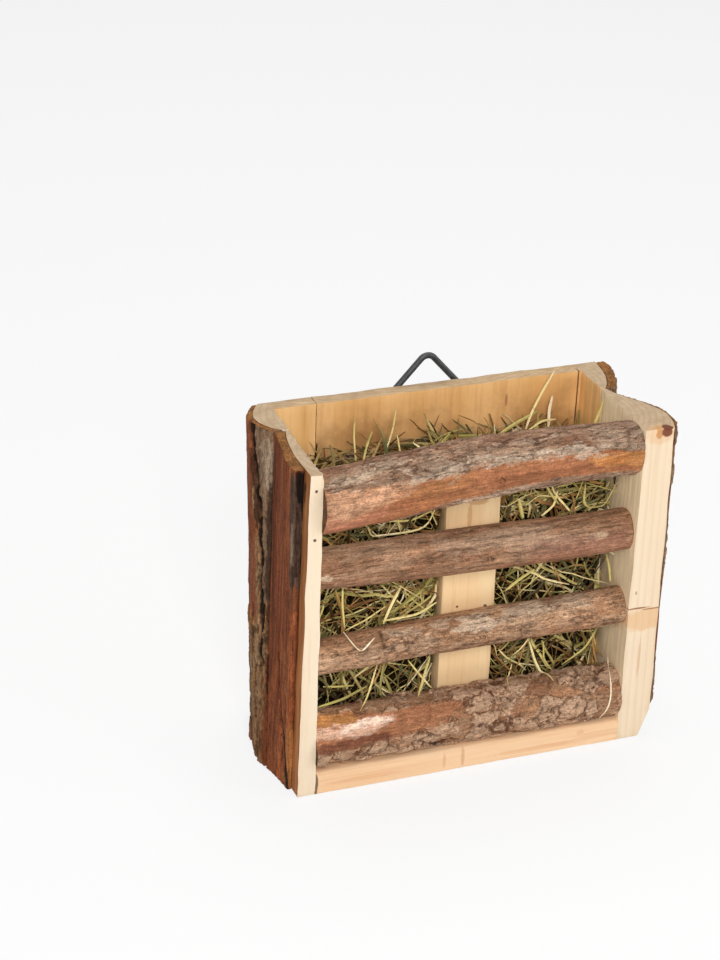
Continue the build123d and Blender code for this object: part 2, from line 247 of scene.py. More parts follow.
lamps = {
    "key_light": {"place": (-0.45, -1.45, 1.1), "size": 0.6, "power": 19.5},
    "fill_light": {"place": (1.3, -0.9, 0.7), "size": 1.2, "power": 6},
    "top_light": {"place": (0.1, 0.5, 1.7), "size": 1.0, "power": 9},
}
for name, lamp in lamps.items():
    light = bpy.data.lights.new(name, "AREA")
    light.size = lamp["size"]
    light.energy = lamp["power"]
    lampObject = bpy.data.objects.new(name, light)
    bpy.context.scene.collection.objects.link(lampObject)
    aim = Vector((0, 0, 0.1)) - Vector(lamp["place"])
    lampObject.location = lamp["place"]
    lampObject.rotation_euler = aim.to_track_quat("-Z", "Y").to_euler()
print("camera, floor and lamps set")


def readPoints(mesh):
    values = np.empty(len(mesh.vertices) * 3)
    mesh.vertices.foreach_get("co", values)
    return values.reshape(-1, 3)


def readNormals(mesh):
    values = np.empty(len(mesh.vertices) * 3)
    mesh.vertex_normals.foreach_get("vector", values)
    return values.reshape(-1, 3)


def writePoints(mesh, points):
    mesh.vertices.foreach_set("co", points.ravel())
    mesh.update()


def keepValues(mesh, name, values):
    attribute = mesh.attributes.new(name, "FLOAT", "POINT")
    attribute.data.foreach_set("value", values.astype(np.float32))


def wave(points, seed, length, octaves=3):
    # smooth, repeatable unevenness, about -1 to 1
    random = np.random.default_rng(seed)
    total = np.zeros(len(points))
    for octave in range(octaves):
        for _ in range(5):
            direction = random.normal(size=3)
            direction /= np.linalg.norm(direction)
            rate = 2 * math.pi / (length / 2**octave) * random.uniform(0.6, 1.4)
            total += np.sin(points @ direction * rate + random.uniform(0, 6.28)) / 2**octave
    return total / 3.2


def bake(piece):
    # the evaluated piece as a plain mesh, with its modifiers removed
    graph = bpy.context.evaluated_depsgraph_get()
    graph.update()
    mesh = bpy.data.meshes.new_from_object(piece.evaluated_get(graph))
    piece.modifiers.clear()
    piece.data = mesh
    return mesh


def mergedCopy(name):
    # a node's own shape with its corners joined and nothing else kept
    mesh = nodes[name].data.copy()
    work = bmesh.new()
    work.from_mesh(mesh)
    bmesh.ops.remove_doubles(work, verts=work.verts, dist=2e-6)
    work.to_mesh(mesh)
    work.free()
    mesh.materials.clear()
    needed = ("position", ".edge_verts", ".corner_vert", ".corner_edge")
    for attribute in list(mesh.attributes):
        if attribute.name not in needed and not attribute.is_required:
            mesh.attributes.remove(attribute)
    return mesh


def nailLines(name):
    # the axis and the two ends of every nail in a node
    work = bmesh.new()
    work.from_mesh(mergedCopy(name))
    seen, lines = set(), []
    for start in work.verts:
        if start in seen:
            continue
        group, todo = [], [start]
        seen.add(start)
        while todo:
            vert = todo.pop()
            group.append(vert.co[:])
            for edge in vert.link_edges:
                other = edge.other_vert(vert)
                if other not in seen:
                    seen.add(other)
                    todo.append(other)
        group = np.array(group)
        spread = group.max(0) - group.min(0)
        axis = int(np.argmax(spread))
        middle = (group.max(0) + group.min(0)) / 2
        lines.append((axis, middle, group[:, axis].min(), group[:, axis].max()))
    work.free()
    return lines


nailNodes = ("rod_nails", "slat_nails", "bottom_nails", "back_nails")
nails = [line for name in nailNodes for line in nailLines(name)]
print("nails found:", len(nails))


def closeBores(mesh, radius):
    # takes out the walls of the nail holes and closes the surface over them
    work = bmesh.new()
    work.from_mesh(mesh)
    gone = set()
    for axis, middle, low, high in nails:
        across = [i for i in range(3) if i != axis]
        near = set()
        for vert in work.verts:
            place = vert.co
            if low - 0.02 < place[axis] < high + 0.02:
                away = math.hypot(place[across[0]] - middle[across[0]], place[across[1]] - middle[across[1]])
                if away < radius:
                    near.add(vert)
        for vert in near:
            for face in vert.link_faces:
                if all(corner in near for corner in face.verts):
                    gone.add(face)
    bmesh.ops.delete(work, geom=list(gone), context="FACES")
    rims = [edge for edge in work.edges if edge.is_boundary]
    bmesh.ops.holes_fill(work, edges=rims, sides=0)
    bmesh.ops.delete(work, geom=[v for v in work.verts if not v.link_faces], context="VERTS")
    bmesh.ops.recalc_face_normals(work, faces=work.faces)
    work.to_mesh(mesh)
    work.free()
    return mesh


def newShape(name, sockets):
    # a geometry tree whose named inputs are what a user would change
    group = bpy.data.node_groups.new(name, "GeometryNodeTree")
    group.interface.new_socket("Geometry", in_out="INPUT", socket_type="NodeSocketGeometry")
    kinds = {float: "NodeSocketFloat", int: "NodeSocketInt", tuple: "NodeSocketVector"}
    for label, value in sockets.items():
        kind = kinds.get(type(value), "NodeSocketMaterial")
        socket = group.interface.new_socket(label, in_out="INPUT", socket_type=kind)
        if value is not None:
            socket.default_value = value
    group.interface.new_socket("Geometry", in_out="OUTPUT", socket_type="NodeSocketGeometry")
    tree = Tree(group)
    return tree, tree.outs("NodeGroupInput")


def endShape(tree, shape, material):
    real = tree.get("GeometryNodeRealizeInstances", {0: shape})
    finished = tree.get("GeometryNodeSetMaterial", {"Geometry": real, "Material": material})
    tree.add("NodeGroupOutput", {0: finished})


def runShape(piece, tree, values):
    modifier = piece.modifiers.new(tree.tree.name, "NODES")
    modifier.node_group = tree.tree
    for socket in tree.tree.interface.items_tree:
        if socket.in_out == "INPUT" and socket.name in values:
            modifier[socket.identifier] = values[socket.name]
    return bake(piece)


def fieldNamed(tree, name, kind="FLOAT"):
    return tree.get("GeometryNodeInputNamedAttribute", {"Name": name}, "Attribute", data_type=kind)


def keepField(tree, shape, name, value, kind="FLOAT"):
    sockets = {"Geometry": shape, "Name": name, "Value": value}
    return tree.get("GeometryNodeStoreNamedAttribute", sockets, data_type=kind, domain="POINT")


# what a bark has unless its own values say otherwise
plainRelief = {
    "Stretch": (1.0, 1.0, 0.3), "Grain": (1.0, 1.0, 0.05), "Plate": 0.006, "Plate Share": 0.45,
    "Plate Height": 0.0003, "Rim": 0.18, "Flake": 0.01, "Flake Height": 0.0022, "Fibre": 0.0001,
    "Grit": 0.0003, "Swell": 0.0009, "Seed": 0.0, "Material": None,
}


def makeBarkRelief():
    # raised plates, flakes in steps, fibres, grit and a slow swell
    tree, given = newShape("bark_relief", plainRelief)
    place = tree.get("GeometryNodeInputPosition")
    moved = place + tree.join(given["Seed"], given["Seed"], given["Seed"])
    squeezed = moved * given["Stretch"]
    rate = 1.0 / given["Plate"]
    drift = tree.drift(squeezed, rate * 1.1, 4.0, 0.62)
    wandering = squeezed + drift * (given["Plate"] * 1.6)

    # some cells of the net stand up as plates, and only those have a rim, a dark crack line that is partly
    # painted shade in the gap round the plate
    edge = tree.cells(wandering, rate, "DISTANCE_TO_EDGE")
    cell = tree.split(tree.cells(wandering, rate, "F1", "Color"))
    raised = 1.0 - tree.fit(cell[0], 1.02 - given["Plate Share"], 1.0 - given["Plate Share"])
    plate = raised * tree.fit(edge, 0.0, given["Rim"]) * (0.45 + cell[1] * 0.55)
    rim = raised * (1.0 - tree.fit(edge, 0.0, given["Rim"] * 0.7))

    # flakes lie in steps, each with a broken dark foot, a painted shadow under the step
    flights = 11.0
    steps = tree.noise(squeezed, 1.0 / given["Flake"], 5.0, 0.6) * flights
    whole, part = tree.math("FLOOR", steps), tree.math("FRACT", steps)
    flake = (whole + tree.fit(part, 0.0, 0.2)) / flights
    foot = tree.math("MAXIMUM", 1.0 - tree.fit(part, 0.0, 0.13), tree.fit(part, 0.9, 1.0))
    foot = foot * tree.fit(tree.noise(moved, 170.0, 3.0, 0.6), 0.46, 0.6)

    fibre = tree.noise(moved * given["Grain"], 480.0, 3.0, 0.6) - 0.5
    grit = tree.noise(moved, 700.0, 4.0, 0.65) - 0.5
    swell = tree.noise(squeezed, 60.0, 2.0) - 0.5

    rough = fieldNamed(tree, "rough")
    coarse = plate * given["Plate Height"] + (flake - 0.5) * given["Flake Height"]
    coarse = (coarse + grit * (given["Grit"] * 2.0)) * rough
    height = coarse + swell * (given["Swell"] * 2.0) + fibre * (given["Fibre"] * 2.0)
    height = (height + fieldNamed(tree, "lift")) * fieldNamed(tree, "outer")

    # the crack mask: the plates' dark rims and the painted shadow under the flake steps
    dark = tree.math("MAXIMUM", rim, foot * 0.8) * rough
    level = plate * 0.5 + tree.fit(flake, 0.3, 0.7) * 0.5
    shape = keepField(tree, given["Geometry"], "crack", dark)
    shape = keepField(tree, shape, "level", level * rough)
    lift = tree.get("GeometryNodeInputNormal") * height
    shape = tree.get("GeometryNodeSetPosition", {"Geometry": shape, "Offset": lift})
    endShape(tree, shape, given["Material"])
    return tree


barkRelief = makeBarkRelief()


def fineCopy(name, voxel, boreRadius):
    mesh = closeBores(mergedCopy(name), boreRadius)
    piece = newObject(name + "_skin", mesh)
    remesh = piece.modifiers.new("remesh", "REMESH")
    remesh.mode = "VOXEL"
    remesh.voxel_size = voxel
    remesh.use_smooth_shade = True
    bake(piece)
    return piece


def strip(colour, *rows, strength=0.9, rag=1.2, soft=1.2, smooth=0, lift=0):
    # a mark along the grain: each row has a place and the strip's two edges there
    return dict(colour=colour, rows=rows, strength=strength, rag=rag, soft=soft, smooth=smooth, lift=lift)


def between(along, across, rows, rag, soft, seed):
    # how far a place lies within a ragged strip along the grain, from 0 to 1
    rows = np.array(rows, float)
    spots = np.column_stack([along * 0.45, across, across * 0])
    shift = rag * (wave(spots, seed, 13.0, 4) + 0.5 * wave(spots, seed + 2, 2.6, 2))
    low = np.interp(along, rows[:, 0], rows[:, 1])
    high = np.interp(along, rows[:, 0], rows[:, 2])
    side = np.minimum(across + shift - low, high - across - shift)
    end = np.minimum(along - rows[0, 0], rows[-1, 0] - along) + 2 * rag * wave(spots, seed + 1, 8.0, 3)
    share = np.clip(np.minimum(side, end / 2) / soft + 0.5, 0, 1)
    return share * share * (3 - 2 * share)


def paintMarks(piece, along, across, marks):
    mesh = piece.data
    count = len(mesh.vertices)
    tint, cover = np.zeros((count, 3)), np.zeros(count)
    rough, lift = np.ones(count), np.zeros(count)
    for order, mark in enumerate(marks):
        share = between(along, across, mark["rows"], mark["rag"], mark["soft"], 11 * order + 5)
        rough *= 1 - share * mark["smooth"]
        lift += share * mark["lift"] * mm
        share = share * mark["strength"]
        now = cover + (1 - cover) * share
        over = tint * (cover * (1 - share))[:, None] + np.outer(share, shade(*mark["colour"])[:3])
        tint = over / np.maximum(now, 1e-6)[:, None]
        cover = now
    keepValues(mesh, "rough", rough)
    keepValues(mesh, "lift", lift)
    colours = np.column_stack([tint, cover]).astype(np.float32)
    mesh.attributes.new("tint", "FLOAT_COLOR", "POINT").data.foreach_set("color", colours.ravel())


def addSpots(tree, colour, place, spots):
    # oval marks with a ragged edge: centre, radii, colour, strength
    rag = tree.drift(place, 300.0, 3.0, 0.6)
    for centre, radii, mark, strength in spots:
        away = place - tuple(v * mm for v in centre)
        away = away / tuple(v * mm for v in radii)
        away = tree.vector("LENGTH", away + rag * 0.8)
        share = tree.fit(away, 1.15, 0.75) * strength
        colour = tree.mix(share, colour, mark)
    return colour


# how a bark looks unless its own look says otherwise
plainBark = {"dark": (42, 26, 18), "end": (170, 116, 66), "plateShare": 0.6, "crackShare": 0.75,
             "flecks": 0.8, "streaks": (0.8, 1.2)}


def barkMaterial(name, look):
    material, tree, surface = newMaterial(name, Roughness=0.8, Specular_IOR_Level=0.12)
    coordinates = tree.outs("ShaderNodeTexCoord")
    place, normal = coordinates["Object"], tree.split(coordinates["Normal"])
    stretched, fibred = place * look["stretch"], place * look["grain"]
    tint = tree.outs("ShaderNodeAttribute", attribute_name="tint")
    broad = tree.noise(stretched, 75.0, 4.0, 0.6)
    cloud = tree.noise(place, 210.0, 3.0, 0.6)
    streak = tree.noise(fibred, 330.0, 4.0, 0.65)
    fine = tree.noise(fibred, 1500.0, 3.0, 0.7)
    speck = tree.noise(place, 1000.0, 3.0, 0.65)
    hue = tree.noise(place, 45.0, 3.0, 0.6)

    colour = tree.ramp(broad, ((0.34, look["low"]), (0.5, look["middle"]), (0.66, look["high"])))
    colour = tree.mix(tree.fit(hue, 0.5, 0.68) * 0.55, colour, look["warm"])
    plates = tree.fit(tree.named("level") + cloud * 0.5, 0.52, 0.86)
    colour = tree.mix(plates * look["plateShare"], colour, look["plate"])
    colour = tree.mix(tint["Alpha"], colour, tint["Color"])
    colour = colour * tree.fit(streak, 0.3, 0.7, to=look["streaks"])
    colour = colour * tree.fit(fine, 0.3, 0.7, to=(0.78, 1.27))
    colour = colour * tree.fit(speck, 0.3, 0.7, to=(0.78, 1.24))
    colour = colour * tree.fit(cloud, 0.3, 0.7, to=(0.84, 1.16))
    # small flecks: the pits get painted shade and the raised flakes a painted highlight, in step with the
    # bump
    flecks = tree.noise(stretched, 560.0, 3.0, 0.55)
    lively = tree.fit(tree.named("rough"), 0.0, 1.0, to=(0.3 * look["flecks"], look["flecks"]))
    pitShade = tree.fit(flecks, 0.45, 0.37) * lively
    flakeHighlight = tree.fit(flecks, 0.57, 0.64) * lively
    colour = colour * tree.fit(pitShade, 0.0, 1.0, to=(1.04, 0.6))
    colour = colour * tree.fit(flakeHighlight, 0.0, 1.0, to=(1.0, 1.26))
    colour = tree.mix(tree.fit(speck, 0.35, 0.28) * 0.6, colour, look["dark"])
    veins = tree.math("ABSOLUTE", tree.noise(stretched, 260.0, 4.0, 0.6) - 0.5)
    veins = tree.fit(veins, 0.04, 0.004) * tree.fit(cloud, 0.44, 0.56) * (1.0 - tint["Alpha"] * 0.6)
    colour = tree.mix(veins * 0.75, colour, colour * 0.42)
    # cracks darkened, with painted shade in the gaps and under the flake steps
    colour = tree.mix(tree.named("crack") * look["crackShare"], colour, look["dark"])

    # the sawn ends show the bark's inside
    endMask = tree.fit(tree.math("ABSOLUTE", normal[look["endAxis"]]), 0.72, 0.88)
    end = tree.mix(tree.fit(speck, 0.4, 0.6), look["end"], [0.72 * v for v in look["end"]])
    end = end * tree.fit(cloud, 0.36, 0.64, to=(0.66, 1.22))
    colour = tree.mix(endMask, colour, end)

    height = fine * 0.5 + speck * 0.5 + streak * 0.5 - veins * 0.6 + (flakeHighlight - pitShade) * 0.4
    tree.finish(surface, colour, height, 0.85, 0.0007)
    return material


barkVoxel, hayVoxel = 0.6 * mm, 3.0 * mm
wideBore, thinBore = 2.3 * mm, 1.0 * mm  # nail holes up to this radius are closed


def dressBark(piece, material, skin, endAxis):
    relief = dict(plainRelief, **skin["relief"])
    look = dict(plainBark, **skin["look"], stretch=relief["Stretch"], grain=relief["Grain"], endAxis=endAxis)
    runShape(piece, barkRelief, dict(relief, Material=barkMaterial(material, look)))


# rods; their marks are in millimetres along X and in degrees up from the front
rodSkins = {
    "top_rod": {
        "relief": {"Stretch": (0.32, 1.0, 1.0), "Grain": (0.06, 1.0, 1.0), "Plate": 0.0055,
                   "Plate Share": 0.4, "Plate Height": 0.0006, "Rim": 0.2, "Flake": 0.0085, "Fibre": 0.00012,
                   "Grit": 0.00035, "Swell": 0.0006, "Seed": 1.3},
        "marks": [
            strip((160, 102, 66), (-92, -75, -36), (-62, -62, -8), (-39, -44, 22), (-28, -33, 24),
                  (17, -17, 31), (62, -26, 25), (92, -42, 21), smooth=0.95, lift=-0.35),
            strip((132, 82, 56), (-60, -20, 5), (-28, -16, 12), (40, -8, 10), (92, -20, 0), strength=0.6,
                  rag=2.2, soft=3),
            strip((186, 128, 82), (-50, -2, 22), (-30, -6, 20), (-8, 8, 22), strength=0.5, soft=3.5, rag=2),
            strip((172, 112, 78), (-10, 4, 24), (30, 10, 26), (56, 4, 20), strength=0.5, soft=3, rag=2.4),
            strip((196, 136, 80), (56, 8, 20), (74, -16, 19), (92, -24, 15), strength=0.65, soft=2),
            strip((176, 108, 58), (64, -2, 14), (80, -8, 10), strength=0.5, soft=1.5),
            strip((184, 134, 100), (-92, -52, 42), (-80, -38, 38), (-62, -13, 28), (-50, 2, 27),
                  (-37, 18, 26), smooth=0.5, lift=-0.2, strength=0.85, rag=2.2, soft=2.2),
            strip((208, 160, 126), (-88, -10, 32), (-70, 0, 30), (-54, 10, 26), strength=0.6, rag=3, soft=2),
            strip((172, 114, 88), (-92, -66, 0), (-76, -50, -16), (-58, -34, -6), strength=0.75, rag=2.4,
                  soft=3),
            strip((190, 168, 146), (-42, 28, 44), (-10, 31, 46), (17, 32, 50), (45, 28, 46), (70, 27, 40),
                  strength=0.7, rag=2.8, soft=2.4),
            strip((180, 158, 134), (-86, 50, 72), (-60, 56, 76), (-44, 52, 70), strength=0.55, rag=3, soft=2),
            strip((170, 146, 124), (60, 44, 110), (92, 34, 110), strength=0.35, rag=3, soft=4),
            strip((142, 98, 74), (-92, 70, 140), (0, 76, 140), (92, 80, 140), strength=0.4, rag=3, soft=5),
        ],
        "look": {"low": (124, 92, 70), "middle": (154, 120, 95), "high": (178, 148, 122),
                 "warm": (146, 98, 72), "plate": (172, 148, 126), "dark": (70, 46, 34), "end": (120, 84, 52)},
    },
    "second_rod": {
        "relief": {"Stretch": (0.2, 1.0, 1.0), "Grain": (0.04, 1.0, 1.0), "Plate Share": 0.15,
                   "Plate Height": 0.0002, "Rim": 0.3, "Flake": 0.013, "Flake Height": 0.0007,
                   "Fibre": 0.00016, "Grit": 0.0002, "Swell": 0.0007, "Seed": 2.6},
        "marks": [
            strip((176, 148, 124), (-20, 10, 60), (15, 20, 80), (45, 10, 70), strength=0.5, rag=3.5, soft=5),
            strip((174, 140, 112), (-74, 20, 60), (-50, 24, 66), (-34, 10, 50), strength=0.5, rag=3.5,
                  soft=5),
            strip((206, 176, 144), (60, -2, 24), (66, 4, 30), (72, 10, 32), strength=0.7, rag=1.6, soft=1.2),
            strip((214, 190, 162), (-89, -10, 14), (-82, -14, 2), strength=0.7, rag=1.6, soft=1.2),
            strip((144, 98, 80), (30, -50, 20), (60, -54, 20), (90, -60, 30), strength=0.6, rag=3, soft=5),
            strip((136, 94, 68), (-90, -70, -20), (90, -70, -24), strength=0.5, rag=2.4, soft=4),
        ],
        "look": {"low": (138, 100, 74), "middle": (156, 116, 88), "high": (172, 136, 108),
                 "warm": (158, 108, 76), "plate": (166, 136, 110), "plateShare": 0.35, "dark": (88, 60, 42),
                 "crackShare": 0.45, "end": (110, 78, 50)},
    },
    "third_rod": {
        "relief": {"Stretch": (0.4, 1.0, 1.0), "Grain": (0.06, 1.0, 1.0), "Plate Share": 0.2, "Rim": 0.25,
                   "Flake Height": 0.0012, "Seed": 4.9},
        "marks": [
            strip((192, 164, 138), (-48, 40, 76), (-30, 44, 80), strength=0.65, rag=2.4, soft=1.6),
            strip((178, 148, 122), (-44, 8, 30), (-24, 10, 32), strength=0.5, rag=3, soft=2),
            strip((196, 168, 142), (-20, 44, 76), (-12, 40, 80), strength=0.65, rag=2.4, soft=1.4),
            strip((208, 182, 156), (-8, 24, 74), (8, 28, 80), (13, 38, 80), strength=0.8, rag=2, soft=1.4),
            strip((200, 174, 148), (17, 40, 84), (34, 36, 90), (46, 40, 90), strength=0.75, rag=2.2,
                  soft=1.6),
            strip((188, 162, 138), (50, 52, 92), (66, 56, 94), strength=0.6, rag=2.6, soft=2),
            strip((66, 44, 32), (-50.6, 16, 84), (-49.4, 16, 84), lift=-0.7, rag=0.4),
        ],
        "look": {"low": (150, 108, 79), "middle": (170, 129, 97), "high": (188, 152, 122),
                 "warm": (168, 114, 78), "plate": (176, 150, 124), "plateShare": 0.4, "dark": (74, 48, 34),
                 "crackShare": 0.65, "end": (110, 78, 50)},
    },
    "bottom_rail": {
        "relief": {"Stretch": (0.75, 1.0, 1.0), "Grain": (0.1, 1.0, 1.0), "Plate": 0.0098, "Plate Share": 0.6,
                   "Plate Height": 0.0019, "Rim": 0.13, "Flake": 0.011, "Flake Height": 0.0024,
                   "Grit": 0.00035, "Seed": 7.7},
        "marks": [
            strip((172, 114, 80), (-92, -2, 84), (-68, 0, 80), (-40, 10, 58), smooth=0.9, lift=-0.7, soft=2),
            strip((196, 136, 78), (-92, 54, 84), (-66, 56, 80), strength=0.85, soft=2),
            strip((166, 112, 80), (-45, 18, 62), (-26, 16, 58), (-6, 30, 56), smooth=0.7, lift=-0.4, rag=2.2,
                  soft=3),
            strip((112, 68, 50), (-90, -4, 16), (-62, 0, 18), (-48, 8, 24), strength=0.85, soft=1.8),
            strip((212, 170, 144), (-91, 22, 46), (-66, 22, 52), (-50, 32, 58), (-42, 42, 54), strength=0.9,
                  lift=-0.3, rag=1.8, soft=2),
            # the palest part of the scar: pale bare wood with a painted highlight on it
            strip((238, 208, 186), (-72, 34, 56), (-56, 34, 60), (-47, 42, 56), strength=0.85, rag=1.6,
                  soft=1.6),
            strip((180, 128, 92), (54, 34, 52), (66, 34, 50), smooth=0.5, strength=0.4, rag=2.2, soft=2),
            strip((200, 146, 100), (33, -4, 20), (38, -4, 24), strength=0.7, rag=1.6, soft=1.6),
            strip((24, 14, 10), (-20, -44, -34), (-8, -46, -32), strength=0.9, lift=-0.8, rag=1.4),
        ],
        "look": {"low": (144, 100, 72), "middle": (156, 116, 86), "high": (172, 134, 104),
                 "warm": (154, 102, 72), "plate": (188, 154, 126), "plateShare": 0.85, "flecks": 0.3,
                 "dark": (80, 50, 34), "crackShare": 0.8, "end": (110, 78, 50)},
    },
}


def rodMiddle(points):
    # the middle of a rod at places along it
    cuts = np.linspace(points[:, 0].min(), points[:, 0].max(), 13)
    rows = []
    for low, high in zip(cuts[:-1], cuts[1:]):
        some = points[(points[:, 0] >= low) & (points[:, 0] <= high)]
        middle = (some.min(0) + some.max(0)) / 2
        rows.append((middle[0], middle[1], middle[2], np.ptp(some[:, 1]) / 2))
    return np.array(rows).T


def coverNails(piece, points, normals):
    # bark lies over the heads of the nails at a rod's front
    rise, radius = 1.5 * mm, 3.4 * mm
    lift = np.empty(len(points))
    values = piece.data.attributes["lift"].data
    values.foreach_get("value", lift)
    for middle in (middle for axis, middle, _, _ in nails if axis == 1):
        away = np.hypot(points[:, 0] - middle[0], points[:, 2] - middle[2])
        lift += rise * np.exp(-((away / radius) ** 2)) * (normals[:, 1] < 0)
    values.foreach_set("value", lift.astype(np.float32))


def buildRods():
    for name, skin in rodSkins.items():
        piece = fineCopy(name, barkVoxel, thinBore)
        points, normals = readPoints(piece.data), readNormals(piece.data)
        x, y, z, reach = rodMiddle(points)
        back = points[:, 1] - np.interp(points[:, 0], x, y)
        up = points[:, 2] - np.interp(points[:, 0], x, z)
        degree = reach.mean() / mm * math.pi / 180
        angle = np.degrees(np.arctan2(up, -back)) * degree
        marks = [
            dict(mark, rows=[(at, low * degree, high * degree) for at, low, high in mark["rows"]])
            for mark in skin["marks"]
        ]
        keepValues(piece.data, "outer", 1 - np.clip((np.abs(normals[:, 0]) - 0.55) / 0.3, 0, 1))
        paintMarks(piece, points[:, 0] / mm, angle, marks)
        coverNails(piece, points, normals)
        dressBark(piece, name + "_bark", skin, 0)
        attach(piece, "box")
        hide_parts(name)
        print(name, len(piece.data.polygons), "faces")


buildRods()

